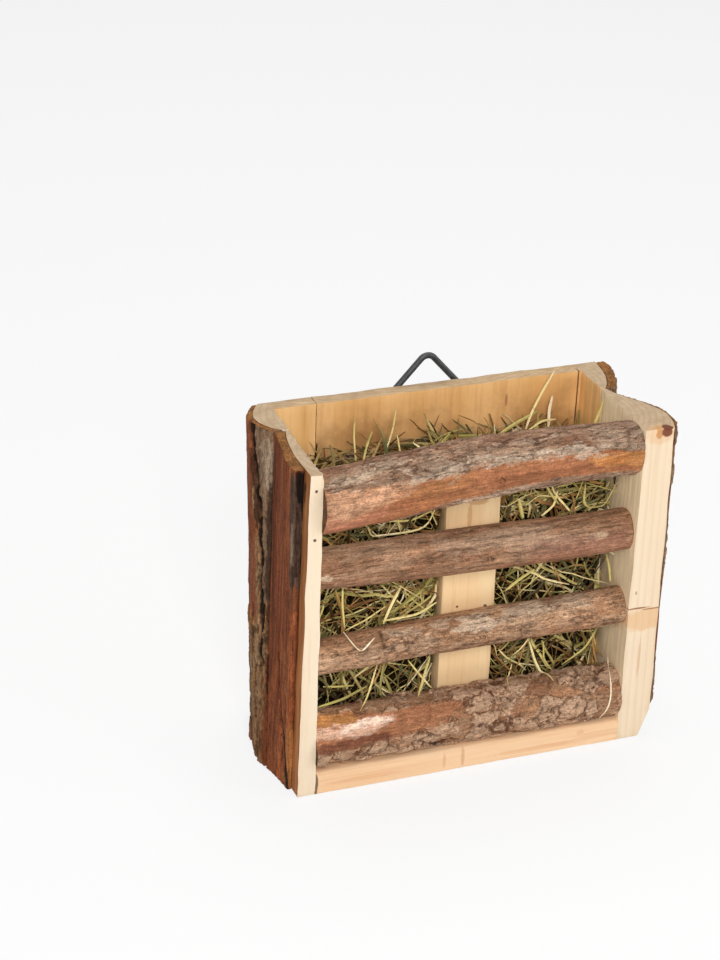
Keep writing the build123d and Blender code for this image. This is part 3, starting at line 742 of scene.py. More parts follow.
# bark on the sides; its marks are in millimetres up the side and behind the middle of the box
sideSkins = {
    "left_rear_bark": {
        "side": -1,
        "relief": {"Plate": 0.0075, "Plate Height": 0.0014, "Flake": 0.009, "Flake Height": 0.0031,
                   "Fibre": 0.0003, "Swell": 0.0008, "Seed": 3.1},
        "marks": [
            strip((128, 72, 46), (80, 8, 50), (120, 14, 50), (150, 19, 50), (196, 23, 50), smooth=0.7,
                  soft=2.5),
            strip((92, 62, 58), (-5, 33, 50), (196, 36, 50), strength=0.85, rag=2, soft=2.5),
            strip((124, 100, 78), (96, -5, 5), (120, -1, 8), (136, 1, 10.5), (156, 5, 15.5), (172, 4, 18.5),
                  (196, 8, 21.5), smooth=0.3, lift=0.8, rag=1.6),
            # a dark strip beside the crack below: painted shade
            strip((62, 38, 26), (134, 11, 15), (150, 13, 20), (164, 15, 22), (178, 19, 24), strength=0.85,
                  rag=1.6, soft=1.6),
            strip((162, 140, 118), (160, 7, 11), (170, 6, 14), (182, 6, 15), (190, 8, 13), strength=0.7,
                  rag=2.2, soft=2.4),
            strip((112, 58, 34), (-5, -20, -8), (40, -16, -5), (75, -14, -3), (100, -14, -5), smooth=0.8,
                  lift=-0.6, soft=2),
            # a dark line in the seam between the two barks and a near-black crack: painted shade in those
            # gaps; the three furrows after them are partly darker bark and partly painted shade
            strip((52, 32, 23), (20, -13, -9), (60, -8.5, -4), (100, -4, 2.2), (130, -1, 6), (152, 2, 8.6),
                  (170, 5, 8.4), strength=0.88, lift=-0.7, rag=1.3, soft=1.6),
            strip((18, 10, 7), (62, -1, 2.4), (104, 4, 6.8), (130, 8.4, 11.8), (159, 13, 16.8),
                  (173, 18, 21.5), (196, 21, 24.4), lift=-0.9, rag=1.0, soft=1.0, strength=0.96),
            strip((46, 29, 20), (20, 3.4, 4.4), (30, 3.2, 8), (52, 7.8, 12.4), (74, 11.6, 16.4),
                  (90, 16, 17.4), lift=-1.6, rag=1.5, strength=0.88),
            strip((48, 30, 21), (58, 18.8, 20), (70, 19.6, 24), (88, 22.8, 27.2), (104, 25.2, 28.6),
                  (116, 27.4, 28.8), lift=-1.5, rag=1.4, strength=0.85),
            strip((54, 34, 23), (24, 16, 17), (34, 16.2, 20), (46, 18.6, 22.6), (58, 20, 23.4), (66, 22, 23),
                  lift=-1.3, rag=1.3, strength=0.8),
            strip((156, 128, 96), (20, 8, 22), (40, 12, 28), (60, 10, 20), strength=0.6, rag=2.6, soft=2.5),
            strip((146, 92, 56), (2, 4, 20), (22, 6, 18), strength=0.6, rag=2.6, soft=2.5),
            strip((124, 62, 34), (128, 17, 30), (150, 22, 32), (170, 30, 36), strength=0.6, rag=2, soft=2.4),
        ],
        "look": {"low": (122, 82, 50), "middle": (148, 104, 65), "high": (172, 132, 92),
                 "warm": (156, 96, 52), "plate": (142, 116, 88), "plateShare": 0.5},
    },
    "left_front_bark": {
        "side": -1,
        "relief": {"Stretch": (1.0, 1.0, 0.15), "Grain": (1.0, 1.0, 0.03), "Plate": 0.007, "Plate Share": 0.1,
                   "Rim": 0.2, "Flake": 0.016, "Flake Height": 0.0008, "Fibre": 0.00028, "Grit": 0.00015,
                   "Swell": 0.001, "Seed": 9.4},
        "marks": [
            strip((108, 54, 28), (60, -10, 12), (196, -10, 12), strength=0.5, rag=2.5, soft=4),
            strip((92, 58, 38), (112, -46, -34.6), (126, -46, -34), (161, -46, -33), (190, -46, -32),
                  strength=0.75, rag=1.2, soft=2.5),
            strip((74, 59, 49), (126, -46, -34.8), (140, -46, -34.2), (161, -46, -33.5), (190, -46, -32.5),
                  lift=0.5, rag=1.0, soft=1.8, strength=0.85),
            strip((126, 106, 88), (138, -37.4, -35.2), (150, -37.6, -35), (164, -37, -35), strength=0.75,
                  rag=0.6, soft=0.8),
            # the three near-black strips from here are painted shadow in the gap where the bark's front edge
            # lifts off the wood
            strip((34, 23, 17), (130, -39.6, -38.6), (150, -39.4, -38.2), (172, -39, -38), strength=0.8,
                  rag=0.5, soft=0.5),
            strip((15, 10, 8), (174, -46, -39), (192, -46, -38), strength=0.95, rag=0.7, soft=1.2),
            strip((20, 13, 10), (120, -44, -41.6), (150, -44, -41), (178, -45, -40.6), strength=0.92, rag=0.6,
                  soft=0.8),
            strip((164, 108, 60), (-5, -46, -31), (20, -46, -31), (42, -46, -33), strength=0.75, rag=2.0,
                  soft=3),
            # a near-black crack: painted shade inside it
            strip((20, 11, 7), (0, -38, -34.4), (9, -36, -31.4), (27, -31.6, -28.8), (41, -27.6, -25),
                  (63, -22.4, -20.4), (94, -17.4, -16.8), lift=-0.6, rag=0.5, soft=0.9, strength=0.95),
            strip((140, 92, 50), (30, -46, -42), (116, -46, -42), strength=0.6, rag=0.8, soft=1.2),
            strip((92, 50, 32), (56, -42, -38.5), (120, -42, -38.5), strength=0.6, rag=1.0, soft=1.2),
            strip((146, 80, 42), (80, -29, -22), (150, -26, -16), strength=0.35, rag=3, soft=3),
            # a dark line at the front bark's rear edge: painted shade of the joint with the rear bark
            strip((72, 36, 24), (88, -7, -6), (110, -5.4, -2.6), (140, -2, 1), (174, 2.4, 3.4), strength=0.6,
                  rag=0.8, soft=1.6),
            strip((170, 112, 68), (60, -33, -30.5), (84, -31, -28.8), strength=0.5, rag=1.2, soft=1.2),
        ],
        "look": {"low": (110, 56, 31), "middle": (130, 69, 40), "high": (148, 86, 52), "warm": (142, 80, 42),
                 "plate": (116, 72, 46), "plateShare": 0.25, "dark": (44, 22, 14), "crackShare": 0.5,
                 "streaks": (0.68, 1.28)},
    },
    "right_front_bark": {
        "side": 1,
        "relief": {"Plate": 0.008, "Plate Height": 0.0007, "Flake Height": 0.002, "Fibre": 0.0002,
                   "Swell": 0.0008, "Seed": 5.2},
        "marks": [
            strip((132, 74, 46), (-5, -44, -30), (80, -44, -36), (196, -44, -34), smooth=0.7, rag=2.4),
            strip((150, 118, 90), (20, -20, -6), (110, -16, 2), strength=0.6, rag=2.6),
        ],
        "look": {"low": (104, 70, 48), "middle": (128, 90, 62), "high": (152, 118, 88), "warm": (138, 84, 54),
                 "plate": (146, 120, 94)},
    },
    "right_rear_bark": {
        "side": 1,
        "relief": {"Plate": 0.008, "Plate Height": 0.001, "Flake Height": 0.0026, "Fibre": 0.0003,
                   "Swell": 0.001, "Seed": 6.6},
        "marks": [
            strip((136, 80, 52), (-5, 30, 50), (70, 34, 50), (196, 28, 50), smooth=0.7, rag=2.4),
            strip((152, 124, 98), (60, 8, 22), (160, 10, 26), strength=0.6, rag=2.6),
        ],
        "look": {"low": (104, 72, 50), "middle": (128, 92, 64), "high": (152, 120, 90), "warm": (138, 86, 54),
                 "plate": (146, 120, 94)},
    },
}


def buildSideBark():
    for name, skin in sideSkins.items():
        piece = fineCopy(name, barkVoxel, wideBore)
        points, normals = readPoints(piece.data), readNormals(piece.data)
        outer = 1 - np.clip((np.abs(normals[:, 2]) - 0.55) / 0.3, 0, 1)
        outer *= np.clip(normals[:, 0] * skin["side"] * 3 + 0.2, 0, 1)
        keepValues(piece.data, "outer", outer)
        # round the bark's front edge the marks go on inward, past its y
        facing = np.clip((-normals[:, 1] - 0.45) / 0.2, 0, 1)
        outward = np.abs(points[:, 0])
        edge = points[:, 1] < -34 * mm
        widest = outward[edge].max() if points[:, 1].min() < -36 * mm else 0
        across = points[:, 1] - facing * np.maximum(widest - outward, 0)
        paintMarks(piece, points[:, 2] / mm, across / mm, skin["marks"])
        dressBark(piece, name + "_skin", skin, 2)
        # the foot stays on the plane that the box stands on
        points = readPoints(piece.data)
        pressed = 0.02
        points[:, 2] = np.maximum(points[:, 2], pressed * points[:, 2])
        writePoints(piece.data, points)
        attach(piece, "box")
        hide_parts(name)
        print(name, len(piece.data.polygons), "faces")


buildSideBark()


def woodMaterial(name, look, spots):
    material, tree, surface = newMaterial(name, Roughness=0.7, Specular_IOR_Level=0.3)
    coordinates = tree.outs("ShaderNodeTexCoord")
    place, normal = coordinates["Object"], tree.split(coordinates["Normal"])
    grain = look["grain"]  # 0 along X, 2 along Z
    # rings round the heart of the stem, squeezed along the grain
    squeeze = tuple(0.06 if axis == grain else 1.0 for axis in range(3))
    across = tuple(0.0 if axis == grain else 1.0 for axis in range(3))
    away = place - tuple(v * mm for v in look["pith"])
    long = away * squeeze
    warp = tree.drift(long, 40.0) * (7.0 * mm)
    radius = tree.vector("LENGTH", (away + warp) * across)
    ring = tree.math("FRACT", radius / (look["ring"] * mm))
    late = tree.fit(ring, 0.45, 0.92) * tree.fit(ring, 1.0, 0.93)
    thread = tuple(0.02 if axis == grain else 1.0 for axis in range(3))
    fibre = tree.noise(away * thread, 1500.0, 3.0, 0.6)
    broad = tree.noise(long, 55.0)
    streak = tree.noise(long, 210.0, 4.0, 0.55)
    fade = tree.fit(tree.noise(long, 34.0, 2.0), 0.4, 0.6)

    colour = tree.mix(tree.fit(broad, 0.38, 0.64), look["light"], look["warm"])
    colour = tree.mix(tree.fit(streak, 0.5, 0.72) * 0.45, colour, look["line"])
    colour = tree.mix(late * fade * 0.3, colour, look["line"])
    colour = tree.mix(tree.fit(fibre, 0.52, 0.7) * 0.22, colour, look["line"])
    colour = tree.mix(tree.fit(fibre, 0.46, 0.3) * 0.2, colour, look["light"])

    if "rind" in look:  # the outside of a slab, where bark sat
        rindMask = tree.fit(normal[0] * look["side"], 0.35, 0.6)
        streak = tree.noise(place * (1.0, 1.0, 0.05), 420.0, 4.0, 0.65)
        rind = tree.mix(tree.fit(streak, 0.4, 0.6), look["rind"][0], look["rind"][1])
        colour = tree.mix(rindMask, colour, rind)
    if "inside" in look:  # the sawn face towards the hay, with a painted warm bounce light that makes it brighter and warmer than the front
        inner = tree.fit(normal[0] * -look["side"], 0.6, 0.85)
        bounceLit = shade(*look["inside"])[:3] * tree.fit(streak, 0.35, 0.65, to=(1.12, 0.84))
        colour = tree.mix(inner * 0.85, colour, bounceLit)
    if "stain" in look:  # darker below a height, fading over a distance above it, on faces towards the front
        low, fades = look["stain"]
        wavy = (tree.noise(place, 42.0, 4.0, 0.65) - 0.5) * 0.09
        lowerShare = tree.fit(tree.split(place)[2] + wavy, low + fades, low - fades)
        colour = tree.mix(lowerShare * tree.fit(normal[1], -0.4, -0.8) * 0.75, colour, (136, 90, 50))

    endMask = tree.fit(tree.math("ABSOLUTE", normal[grain]), 0.6, 0.8)
    sawn = tree.noise(place * (0.12, 1.0, 1.0), 900.0, 2.0, 0.5)
    endColour = tree.mix(late * 0.35, look["endLight"], look["endDark"])
    endColour = tree.mix(tree.fit(sawn, 0.45, 0.65) * 0.28, endColour, look["endDark"])
    dust = tree.fit(tree.noise(place, 130.0, 4.0, 0.6), 0.4, 0.65)
    endColour = tree.mix(dust * 0.4, endColour, look["endDark"])
    colour = tree.mix(endMask, colour, endColour)
    colour = addSpots(tree, colour, place, spots)

    height = fibre * 0.5 + late * -0.15 + sawn * endMask * 1.2
    tree.finish(surface, colour, height, 0.45, 0.0003)
    return material


def fray(points, side, top, depth, seed):
    # torn fibres along the top's inner edge, deepest where the saw came out
    innerFace, reachDown, reachOut = 90 * mm, 1.6 * mm, 1.2 * mm
    torn = 0.5 + 0.5 * wave(points, seed, 3.4 * mm, 3) + 0.4 * wave(points, seed + 1, 1.4 * mm, 2)
    torn = np.clip(torn, 0, 1.4) * depth * mm
    near = np.clip((points[:, 2] - top) / reachDown + 1, 0, 1)
    inner = np.clip(1 - (np.abs(points[:, 0]) - innerFace) / reachOut, 0, 1)
    points[:, 0] += side * near * inner * torn
    points[:, 2] -= near * inner * torn * 0.7
    return points


def slicedCopy(name, steps, boreRadius, uneven, seed, edge):
    # the node's own shape, cut into a net so that its faces and edges can waver as sawn wood does
    mesh = closeBores(mergedCopy(name), boreRadius)
    work = bmesh.new()
    work.from_mesh(mesh)
    low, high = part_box(name)
    for axis, step in enumerate(steps):
        if step:
            normal = tuple(1.0 if axis == a else 0.0 for a in range(3))
            for place in np.arange(low[axis] + step * mm * 0.5, high[axis], step * mm):
                point = tuple(float(place) if axis == a else 0.0 for a in range(3))
                everything = work.verts[:] + work.edges[:] + work.faces[:]
                bmesh.ops.bisect_plane(work, geom=everything, plane_co=point, plane_no=normal, dist=1e-6)
    bmesh.ops.remove_doubles(work, verts=work.verts, dist=1e-5)
    work.to_mesh(mesh)
    work.free()
    piece = newObject(name + "_sawn", mesh)
    bevel = piece.modifiers.new("edges", "BEVEL")
    bevel.width = edge * mm
    bevel.segments = 2
    bevel.limit_method = "ANGLE"
    bevel.angle_limit = math.radians(40)
    bevel.use_clamp_overlap = True
    mesh = bake(piece)
    points = readPoints(mesh)
    broad, fine = 34 * mm, 6 * mm
    shift = np.column_stack([wave(points, seed + k, broad) for k in range(3)]) * uneven * mm
    shift += np.column_stack([wave(points, seed + 10 + k, fine) for k in range(3)]) * uneven * 0.25 * mm
    shift[:, 2] *= np.clip(points[:, 2] / (3 * mm), 0, 1)  # the foot stays on the ground
    writePoints(mesh, points + shift)
    mesh.shade_smooth()
    mesh.set_sharp_from_angle(angle=math.radians(38))
    return piece


creamWood = {
    "light": (236, 218, 192), "warm": (230, 207, 176), "line": (214, 183, 145),
    "endLight": (201, 176, 144), "endDark": (168, 138, 104), "ring": 3.4, "grain": 2,
}
backWood = {"endLight": (205, 176, 138), "endDark": (158, 124, 88), "grain": 2}
frontWood = {"endLight": (205, 160, 112), "endDark": (170, 122, 78)}
rindColours = ((100, 60, 36), (150, 98, 58))
slabCuts = {"steps": (0, 3, 6), "uneven": 0.25, "edge": 0.5, "slot": "sawn_wood"}
boardCuts = {"steps": (4, 0, 8), "uneven": 0.2, "edge": 0.5, "slot": "board_wood"}
sawnPieces = {
    "left_front_slab": dict(
        slabCuts, steps=(0, 0.8, 6), edge=0.3, fray=1.3,
        look=dict(creamWood, pith=(-62, -22, 0), side=-1, rind=((150, 92, 50), (178, 118, 66))),
    ),
    "left_rear_slab": dict(
        slabCuts, look=dict(creamWood, pith=(-64, 22, 0), side=-1, rind=rindColours),
    ),
    "right_front_slab": dict(
        slabCuts, look=dict(creamWood, pith=(60, -14, 0), side=1, rind=rindColours, inside=(250, 226, 186)),
    ),
    "right_rear_slab": dict(
        slabCuts, look=dict(creamWood, pith=(62, 26, 0), side=1, rind=rindColours, inside=(244, 190, 116)),
    ),
    "back_board_narrow": dict(
        boardCuts, look=dict(backWood, light=(240, 194, 132), warm=(228, 178, 112), line=(202, 146, 86),
                             ring=3.2, pith=(-50, 130, 0)),
    ),
    "back_board_wide": dict(
        boardCuts, uneven=0.25,
        look=dict(backWood, light=(240, 190, 128), warm=(228, 175, 110), line=(204, 148, 88), ring=3.4,
                  pith=(10, 150, 0), stain=(0.168, 0.03)),
    ),
    "bottom_board": dict(
        boardCuts, steps=(5, 5, 0), uneven=0.25, edge=0.4,
        look=dict(frontWood, light=(243, 210, 172), warm=(236, 196, 154), line=(216, 162, 114), ring=4.0,
                  grain=0, pith=(0, -70, -50)),
    ),
    "centre_slat": dict(
        boardCuts, slot="sawn_wood",
        look=dict(frontWood, light=(252, 222, 174), warm=(247, 210, 160), line=(230, 186, 132), ring=3.0,
                  grain=2, pith=(22, -70, 0)),
    ),
}
# oval marks on sawn wood: centre and radii in millimetres, colour, strength
woodSpots = {
    "left_front_slab": (
        ((-93.6, -44.5, 184), (0.8, 2, 0.9), (70, 50, 36), 0.95),
        ((-93.8, -44.5, 156), (0.9, 2, 0.9), (84, 62, 46), 0.95),
        # a near-black patch where the bark's front edge lifts off: painted shadow in the gap
        ((-102, -38, 182), (6, 2.2, 12), (30, 18, 12), 0.9),
    ),
    "right_front_slab": (
        ((99, -44.5, 191), (9, 6, 7.5), (222, 176, 128), 0.5),
        ((98.2, -44.5, 193.2), (2.0, 5, 2.6), (206, 152, 98), 0.9),
        ((98.2, -44.5, 189.6), (2.0, 5, 3.0), (196, 138, 86), 0.9),
        ((102.9, -44.5, 193.6), (3.2, 5, 2.3), (100, 46, 24), 0.95),
        ((102.6, -44.5, 190.4), (3.3, 5, 2.6), (112, 54, 28), 0.95),
        # a dark line at the joint of the front and rear slabs' inner faces: painted shade of the gap
        ((88, 9.8, 176), (3, 0.55, 30), (98, 70, 44), 0.8),
        ((88, 6.8, 180), (3, 0.4, 16), (170, 132, 88), 0.7),
        ((100, -44.5, 76.5), (15, 12, 7), (220, 172, 120), 0.6),
        ((95, -44.5, 84), (8, 12, 0.55), (150, 94, 52), 0.9),
        ((105, -44.5, 82.7), (8, 12, 0.5), (164, 108, 62), 0.85),
        ((90, -30, 82), (3, 12, 0.5), (160, 112, 70), 0.6),
        ((90, -30, 74), (3, 12, 8), (208, 168, 120), 0.4),
        ((99, -44.5, 52), (0.9, 5, 13), (208, 164, 126), 0.55),
        ((93.5, -44.5, 94), (0.7, 5, 1.2), (150, 110, 78), 0.6),
    ),
    "back_board_narrow": (
        # a dark line at the joint between the two back boards: painted shade of the gap
        ((-66, 40, 100), (0.35, 12, 140), (104, 68, 38), 0.6),
    ),
    "back_board_wide": (
        # a dark line at the joint between the two back boards: painted shade of the gap
        ((-66, 40, 100), (0.35, 12, 140), (104, 68, 38), 0.6),
        # a dark line in the corner against the right side: painted shade
        ((88, 35.5, 150), (0.45, 4, 90), (60, 36, 20), 0.9),
        ((45, 35.5, 181), (0.8, 3, 4), (160, 92, 74), 0.7),
    ),
    "bottom_board": (
        ((-4, -44.5, 7), (1.1, 4, 6), (186, 122, 84), 0.4),
        ((-15, -44.5, 7), (1.0, 4, 5), (198, 138, 98), 0.35),
        # a dark line between the board and the left post: painted shadow
        ((-89.5, -44.5, 6), (1.2, 3, 8), (60, 38, 24), 0.8),
        ((67, -44.5, 9), (2.4, 4, 1.6), (206, 156, 112), 0.4),
        ((40, -44.5, 4), (26, 4, 1.6), (222, 172, 126), 0.5),
        ((-60, -44.5, 5), (22, 4, 1.4), (224, 172, 128), 0.5),
    ),
    "centre_slat": (
        ((-0.3, -16.5, 86), (0.8, 2, 0.8), (96, 60, 40), 0.9),
        ((16.4, -16.5, 83.5), (1.1, 2, 1.1), (92, 58, 40), 0.9),
        ((9, -16.5, 149), (6, 3, 2), (206, 150, 96), 0.6),
        ((4, -16.5, 141), (1.4, 3, 8), (214, 162, 108), 0.6),
    ),
}


def buildSawn():
    for order, (name, sawn) in enumerate(sawnPieces.items()):
        bore = wideBore if "slab" in name else thinBore
        piece = slicedCopy(name, sawn["steps"], bore, sawn["uneven"], 20 + 7 * order, sawn["edge"])
        if "fray" in sawn:
            top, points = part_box(name)[1][2], readPoints(piece.data)
            writePoints(piece.data, fray(points, sawn["look"]["side"], top, sawn["fray"], 91))
        piece.data.materials.clear()
        piece.data.materials.append(woodMaterial(name + "_wood", sawn["look"], woodSpots.get(name, ())))
        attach(piece, "box")
        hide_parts(name)
        print(name, len(piece.data.polygons), "faces")


buildSawn()

# what sown stalks have unless their own values say otherwise
plainStalks = {
    "Density": 30000.0, "Seed": 1, "Length": 0.04, "Length Spread": 0.5, "Width": 0.0007, "Flatness": 0.45,
    "Lift": 0.15, "Curl": 0.07, "Scatter": 0.004, "Low Corner": (-0.088, -0.015, 0.014),
    "High Corner": (0.088, 0.034, 0.2), "Material": None,
}


def makeStalks():
    # stalks sown on a surface, each with its own aim, length, bend and tone
    tree, given = newShape("hay_stalks", plainStalks)

    def random(low, high, order):
        seed = given["Seed"] + order
        return tree.get("FunctionNodeRandomValue", {2: low, 3: high, "Seed": seed}, 1, data_type="FLOAT")

    sockets = {"Mesh": given["Geometry"], "Density": given["Density"], "Seed": given["Seed"]}
    spread = tree.outs("GeometryNodeDistributePointsOnFaces", sockets)
    out = spread["Normal"]
    place = tree.get("GeometryNodeInputPosition")
    aim = tree.join(*(random(-1.0, 1.0, order) for order in (11, 12, 13)))
    flat = tree.vector("NORMALIZE", aim - out * tree.vector("DOT_PRODUCT", aim, out))
    aim = tree.vector("NORMALIZE", flat + out * (random(-0.6, 1.0, 14) * given["Lift"]))
    bow = tree.join(*(random(-1.0, 1.0, order) for order in (15, 16, 17)))
    reach = given["Length"] * (1.0 + random(-1.0, 1.0, 18) * given["Length Spread"])
    girth = given["Width"] * random(0.5, 1.5, 19)
    layer = random(-1.0, 0.3, 20)
    start = place + out * (layer * given["Scatter"])

    points = spread["Points"]
    for label, value, kind in (
        ("root", start, "FLOAT_VECTOR"), ("aim", aim, "FLOAT_VECTOR"), ("bow", bow, "FLOAT_VECTOR"),
        ("reach", reach, "FLOAT"), ("girth", girth, "FLOAT"), ("tone", random(0.0, 1.0, 21), "FLOAT"),
        ("turn", random(0.0, 3.14, 22), "FLOAT"), ("deep", tree.fit(layer, -1.0, 0.0), "FLOAT"),
    ):
        points = keepField(tree, points, label, value, kind)
    line = tree.get("GeometryNodeCurvePrimitiveLine", {0: (0, 0, -0.5), 1: (0, 0, 0.5)})
    line = tree.get("GeometryNodeResampleCurve", {"Curve": line, "Count": 8})
    stalks = tree.get("GeometryNodeInstanceOnPoints", {"Points": points, "Instance": line})
    stalks = tree.get("GeometryNodeRealizeInstances", {0: stalks})

    # every stalk gets its own bend
    share = tree.get("GeometryNodeSplineParameter", output="Factor")
    middle = share - 0.5
    root, aim, bow = (fieldNamed(tree, name, "FLOAT_VECTOR") for name in ("root", "aim", "bow"))
    reach = fieldNamed(tree, "reach")
    bent = (middle * middle * 4.0 - 0.33) * reach * given["Curl"]
    at = root + aim * (middle * reach) + bow * bent
    at = at + tree.drift(at + bow, 55.0, 1.0) * 0.007
    at = tree.vector("MINIMUM", tree.vector("MAXIMUM", at, given["Low Corner"]), given["High Corner"])
    stalks = tree.get("GeometryNodeSetPosition", {"Geometry": stalks, "Position": at})
    stalks = tree.get("GeometryNodeSetCurveTilt", {"Curve": stalks, "Tilt": fieldNamed(tree, "turn")})
    stalks = keepField(tree, stalks, "along", share)
    ring = tree.get("GeometryNodeCurvePrimitiveCircle", {"Resolution": 4, "Radius": 1.0})
    ring = tree.get("GeometryNodeTransform", {0: ring, "Scale": tree.join(1.0, given["Flatness"], 1.0)})
    taper = 1.0 - tree.math("POWER", tree.math("ABSOLUTE", middle * 2.0), 4.0) * 0.55
    thick = fieldNamed(tree, "girth") * taper
    sockets = {"Curve": stalks, "Profile Curve": ring, "Scale": thick, "Fill Caps": True}
    mesh = tree.get("GeometryNodeCurveToMesh", sockets)
    mesh = tree.get("GeometryNodeSetShadeSmooth", {"Geometry": mesh, "Shade Smooth": False})
    endShape(tree, mesh, given["Material"])
    return tree


hayTones = (
    (0.0, (112, 74, 38)), (0.16, (190, 144, 84)), (0.3, (98, 102, 66)), (0.42, (150, 136, 78)),
    (0.55, (182, 170, 96)), (0.7, (230, 210, 132)), (0.85, (250, 228, 166)), (1.0, (253, 236, 200)),
)


def hayMaterial(name):
    material, tree, surface = newMaterial(name, Roughness=0.6, Specular_IOR_Level=0.2)
    place = tree.place()
    tone = tree.named("tone") + (tree.noise(place, 40.0, 2.0) - 0.5) * 0.5 - 0.05
    colour = tree.ramp(tone, hayTones)
    streak = tree.noise(place, 420.0, 3.0, 0.6)
    colour = tree.mix(tree.fit(streak, 0.5, 0.72) * 0.4, colour, (112, 80, 42))
    colour = tree.mix(tree.fit(tree.named("along"), 0.75, 1.0) * 0.4, colour, (170, 140, 88))
    # stalks sown deeper in the bed are darkened with painted shade, almost to black
    colour = tree.mix(tree.fit(tree.named("deep"), 0.82, 0.15, to=(0.0, 0.94)), colour, (42, 30, 13))
    # the sown stalks on the left of the crown are darkened with a painted shadow from the side; the ones laid
    # one by one stay bright
    across, _, up = tree.split(place)
    sideShadow = tree.fit(up, 0.15, 0.16) * tree.fit(across, 0.03, -0.03, to=(0.25, 0.8))
    sideShadow = sideShadow * (1.0 - tree.named("laid"))
    colour = tree.mix(sideShadow, colour, colour * (0.34, 0.24, 0.17))
    tree.finish(surface, colour, streak, 0.3, 0.0002)
    return material


def patchMesh(name, patches):
    # flat four-sided patches to sow stalks on: a corner and two sides, in millimetres
    points, faces = [], []
    for corner, first, second in patches:
        corner, first, second = (np.array(v, float) * mm for v in (corner, first, second))
        base = len(points)
        points += [tuple(corner + side) for side in (0 * first, first, first + second, second)]
        faces.append((base, base + 1, base + 2, base + 3))
    mesh = bpy.data.meshes.new(name)
    mesh.from_pydata(points, [], faces)
    return mesh


hayStalkShape = makeStalks()


def sown(density, seed, length, width, lift, scatter):
    return {"Density": density, "Seed": seed, "Length": length, "Width": width, "Lift": lift,
            "Scatter": scatter}


hayBed = {
    "front": {
        "rides": "hay", "values": sown(54000.0, 3, 0.04, 0.00058, 0.12, 0.009),
        "patches": [((-86, -13, 16), (172, 0, 0), (0, 0, 128))],
    },
    "top": {
        "rides": "hay", "high": 0.176, "values": sown(60000.0, 5, 0.04, 0.0006, 0.16, 0.006),
        "patches": [((x, y, z + rise), (86, 0, 7 - 2 * rise), (0, run, up)) for x, rise in ((-86, 0), (0, 7))
                    for y, z, run, up in ((-14, 139, 15, 14), (1, 153, 14, 6), (15, 159, 18, -1))],
    },
    "heap": {
        "rides": "hay", "high": 0.182, "values": sown(60000.0, 21, 0.03, 0.00055, 0.35, 0.005),
        "patches": [((x, y, z), (wide, 0, 0), (0, run, up)) for x, y, z, wide, run, up in (
            (-66, 22, 150, 40, 9, 13), (-26, 22, 150, 20, 9, 9), (-8, 20, 154, 34, 11, 15),
            (24, 20, 152, 40, 11, 12), (62, 24, 150, 24, 6, 8))],
    },
    "rest": {
        "rides": "hay", "values": sown(24000.0, 8, 0.05, 0.001, 0.1, 0.004),
        "patches": [((86, 33, 16), (-172, 0, 0), (0, 0, 128)), ((-86, -13, 15), (0, 46, 0), (172, 0, 0)),
                    ((-86, 33, 16), (0, -46, 0), (0, 0, 128)), ((86, -13, 16), (0, 46, 0), (0, 0, 128))],
    },
    "caught": {
        "rides": "box", "values": sown(9000.0, 13, 0.034, 0.00062, 0.3, 0.003),
        "patches": [((x, -20, low), (64, 0, 0), (0, 0, high - low)) for x in (-86, 22)
                    for low, high in ((40, 66), (88, 115), (140, 161))],
    },
}
hayReach = {
    "hay": ((-0.0878, -0.0146, 0.0142), (0.0878, 0.0344, 0.168)),
    "box": ((-0.0885, -0.043, 0.016), (0.0885, -0.0168, 0.19)),
}
slatLeft, slatRight, slatRear, slatFront = -0.0122, 0.0242, -0.004, -26 * mm

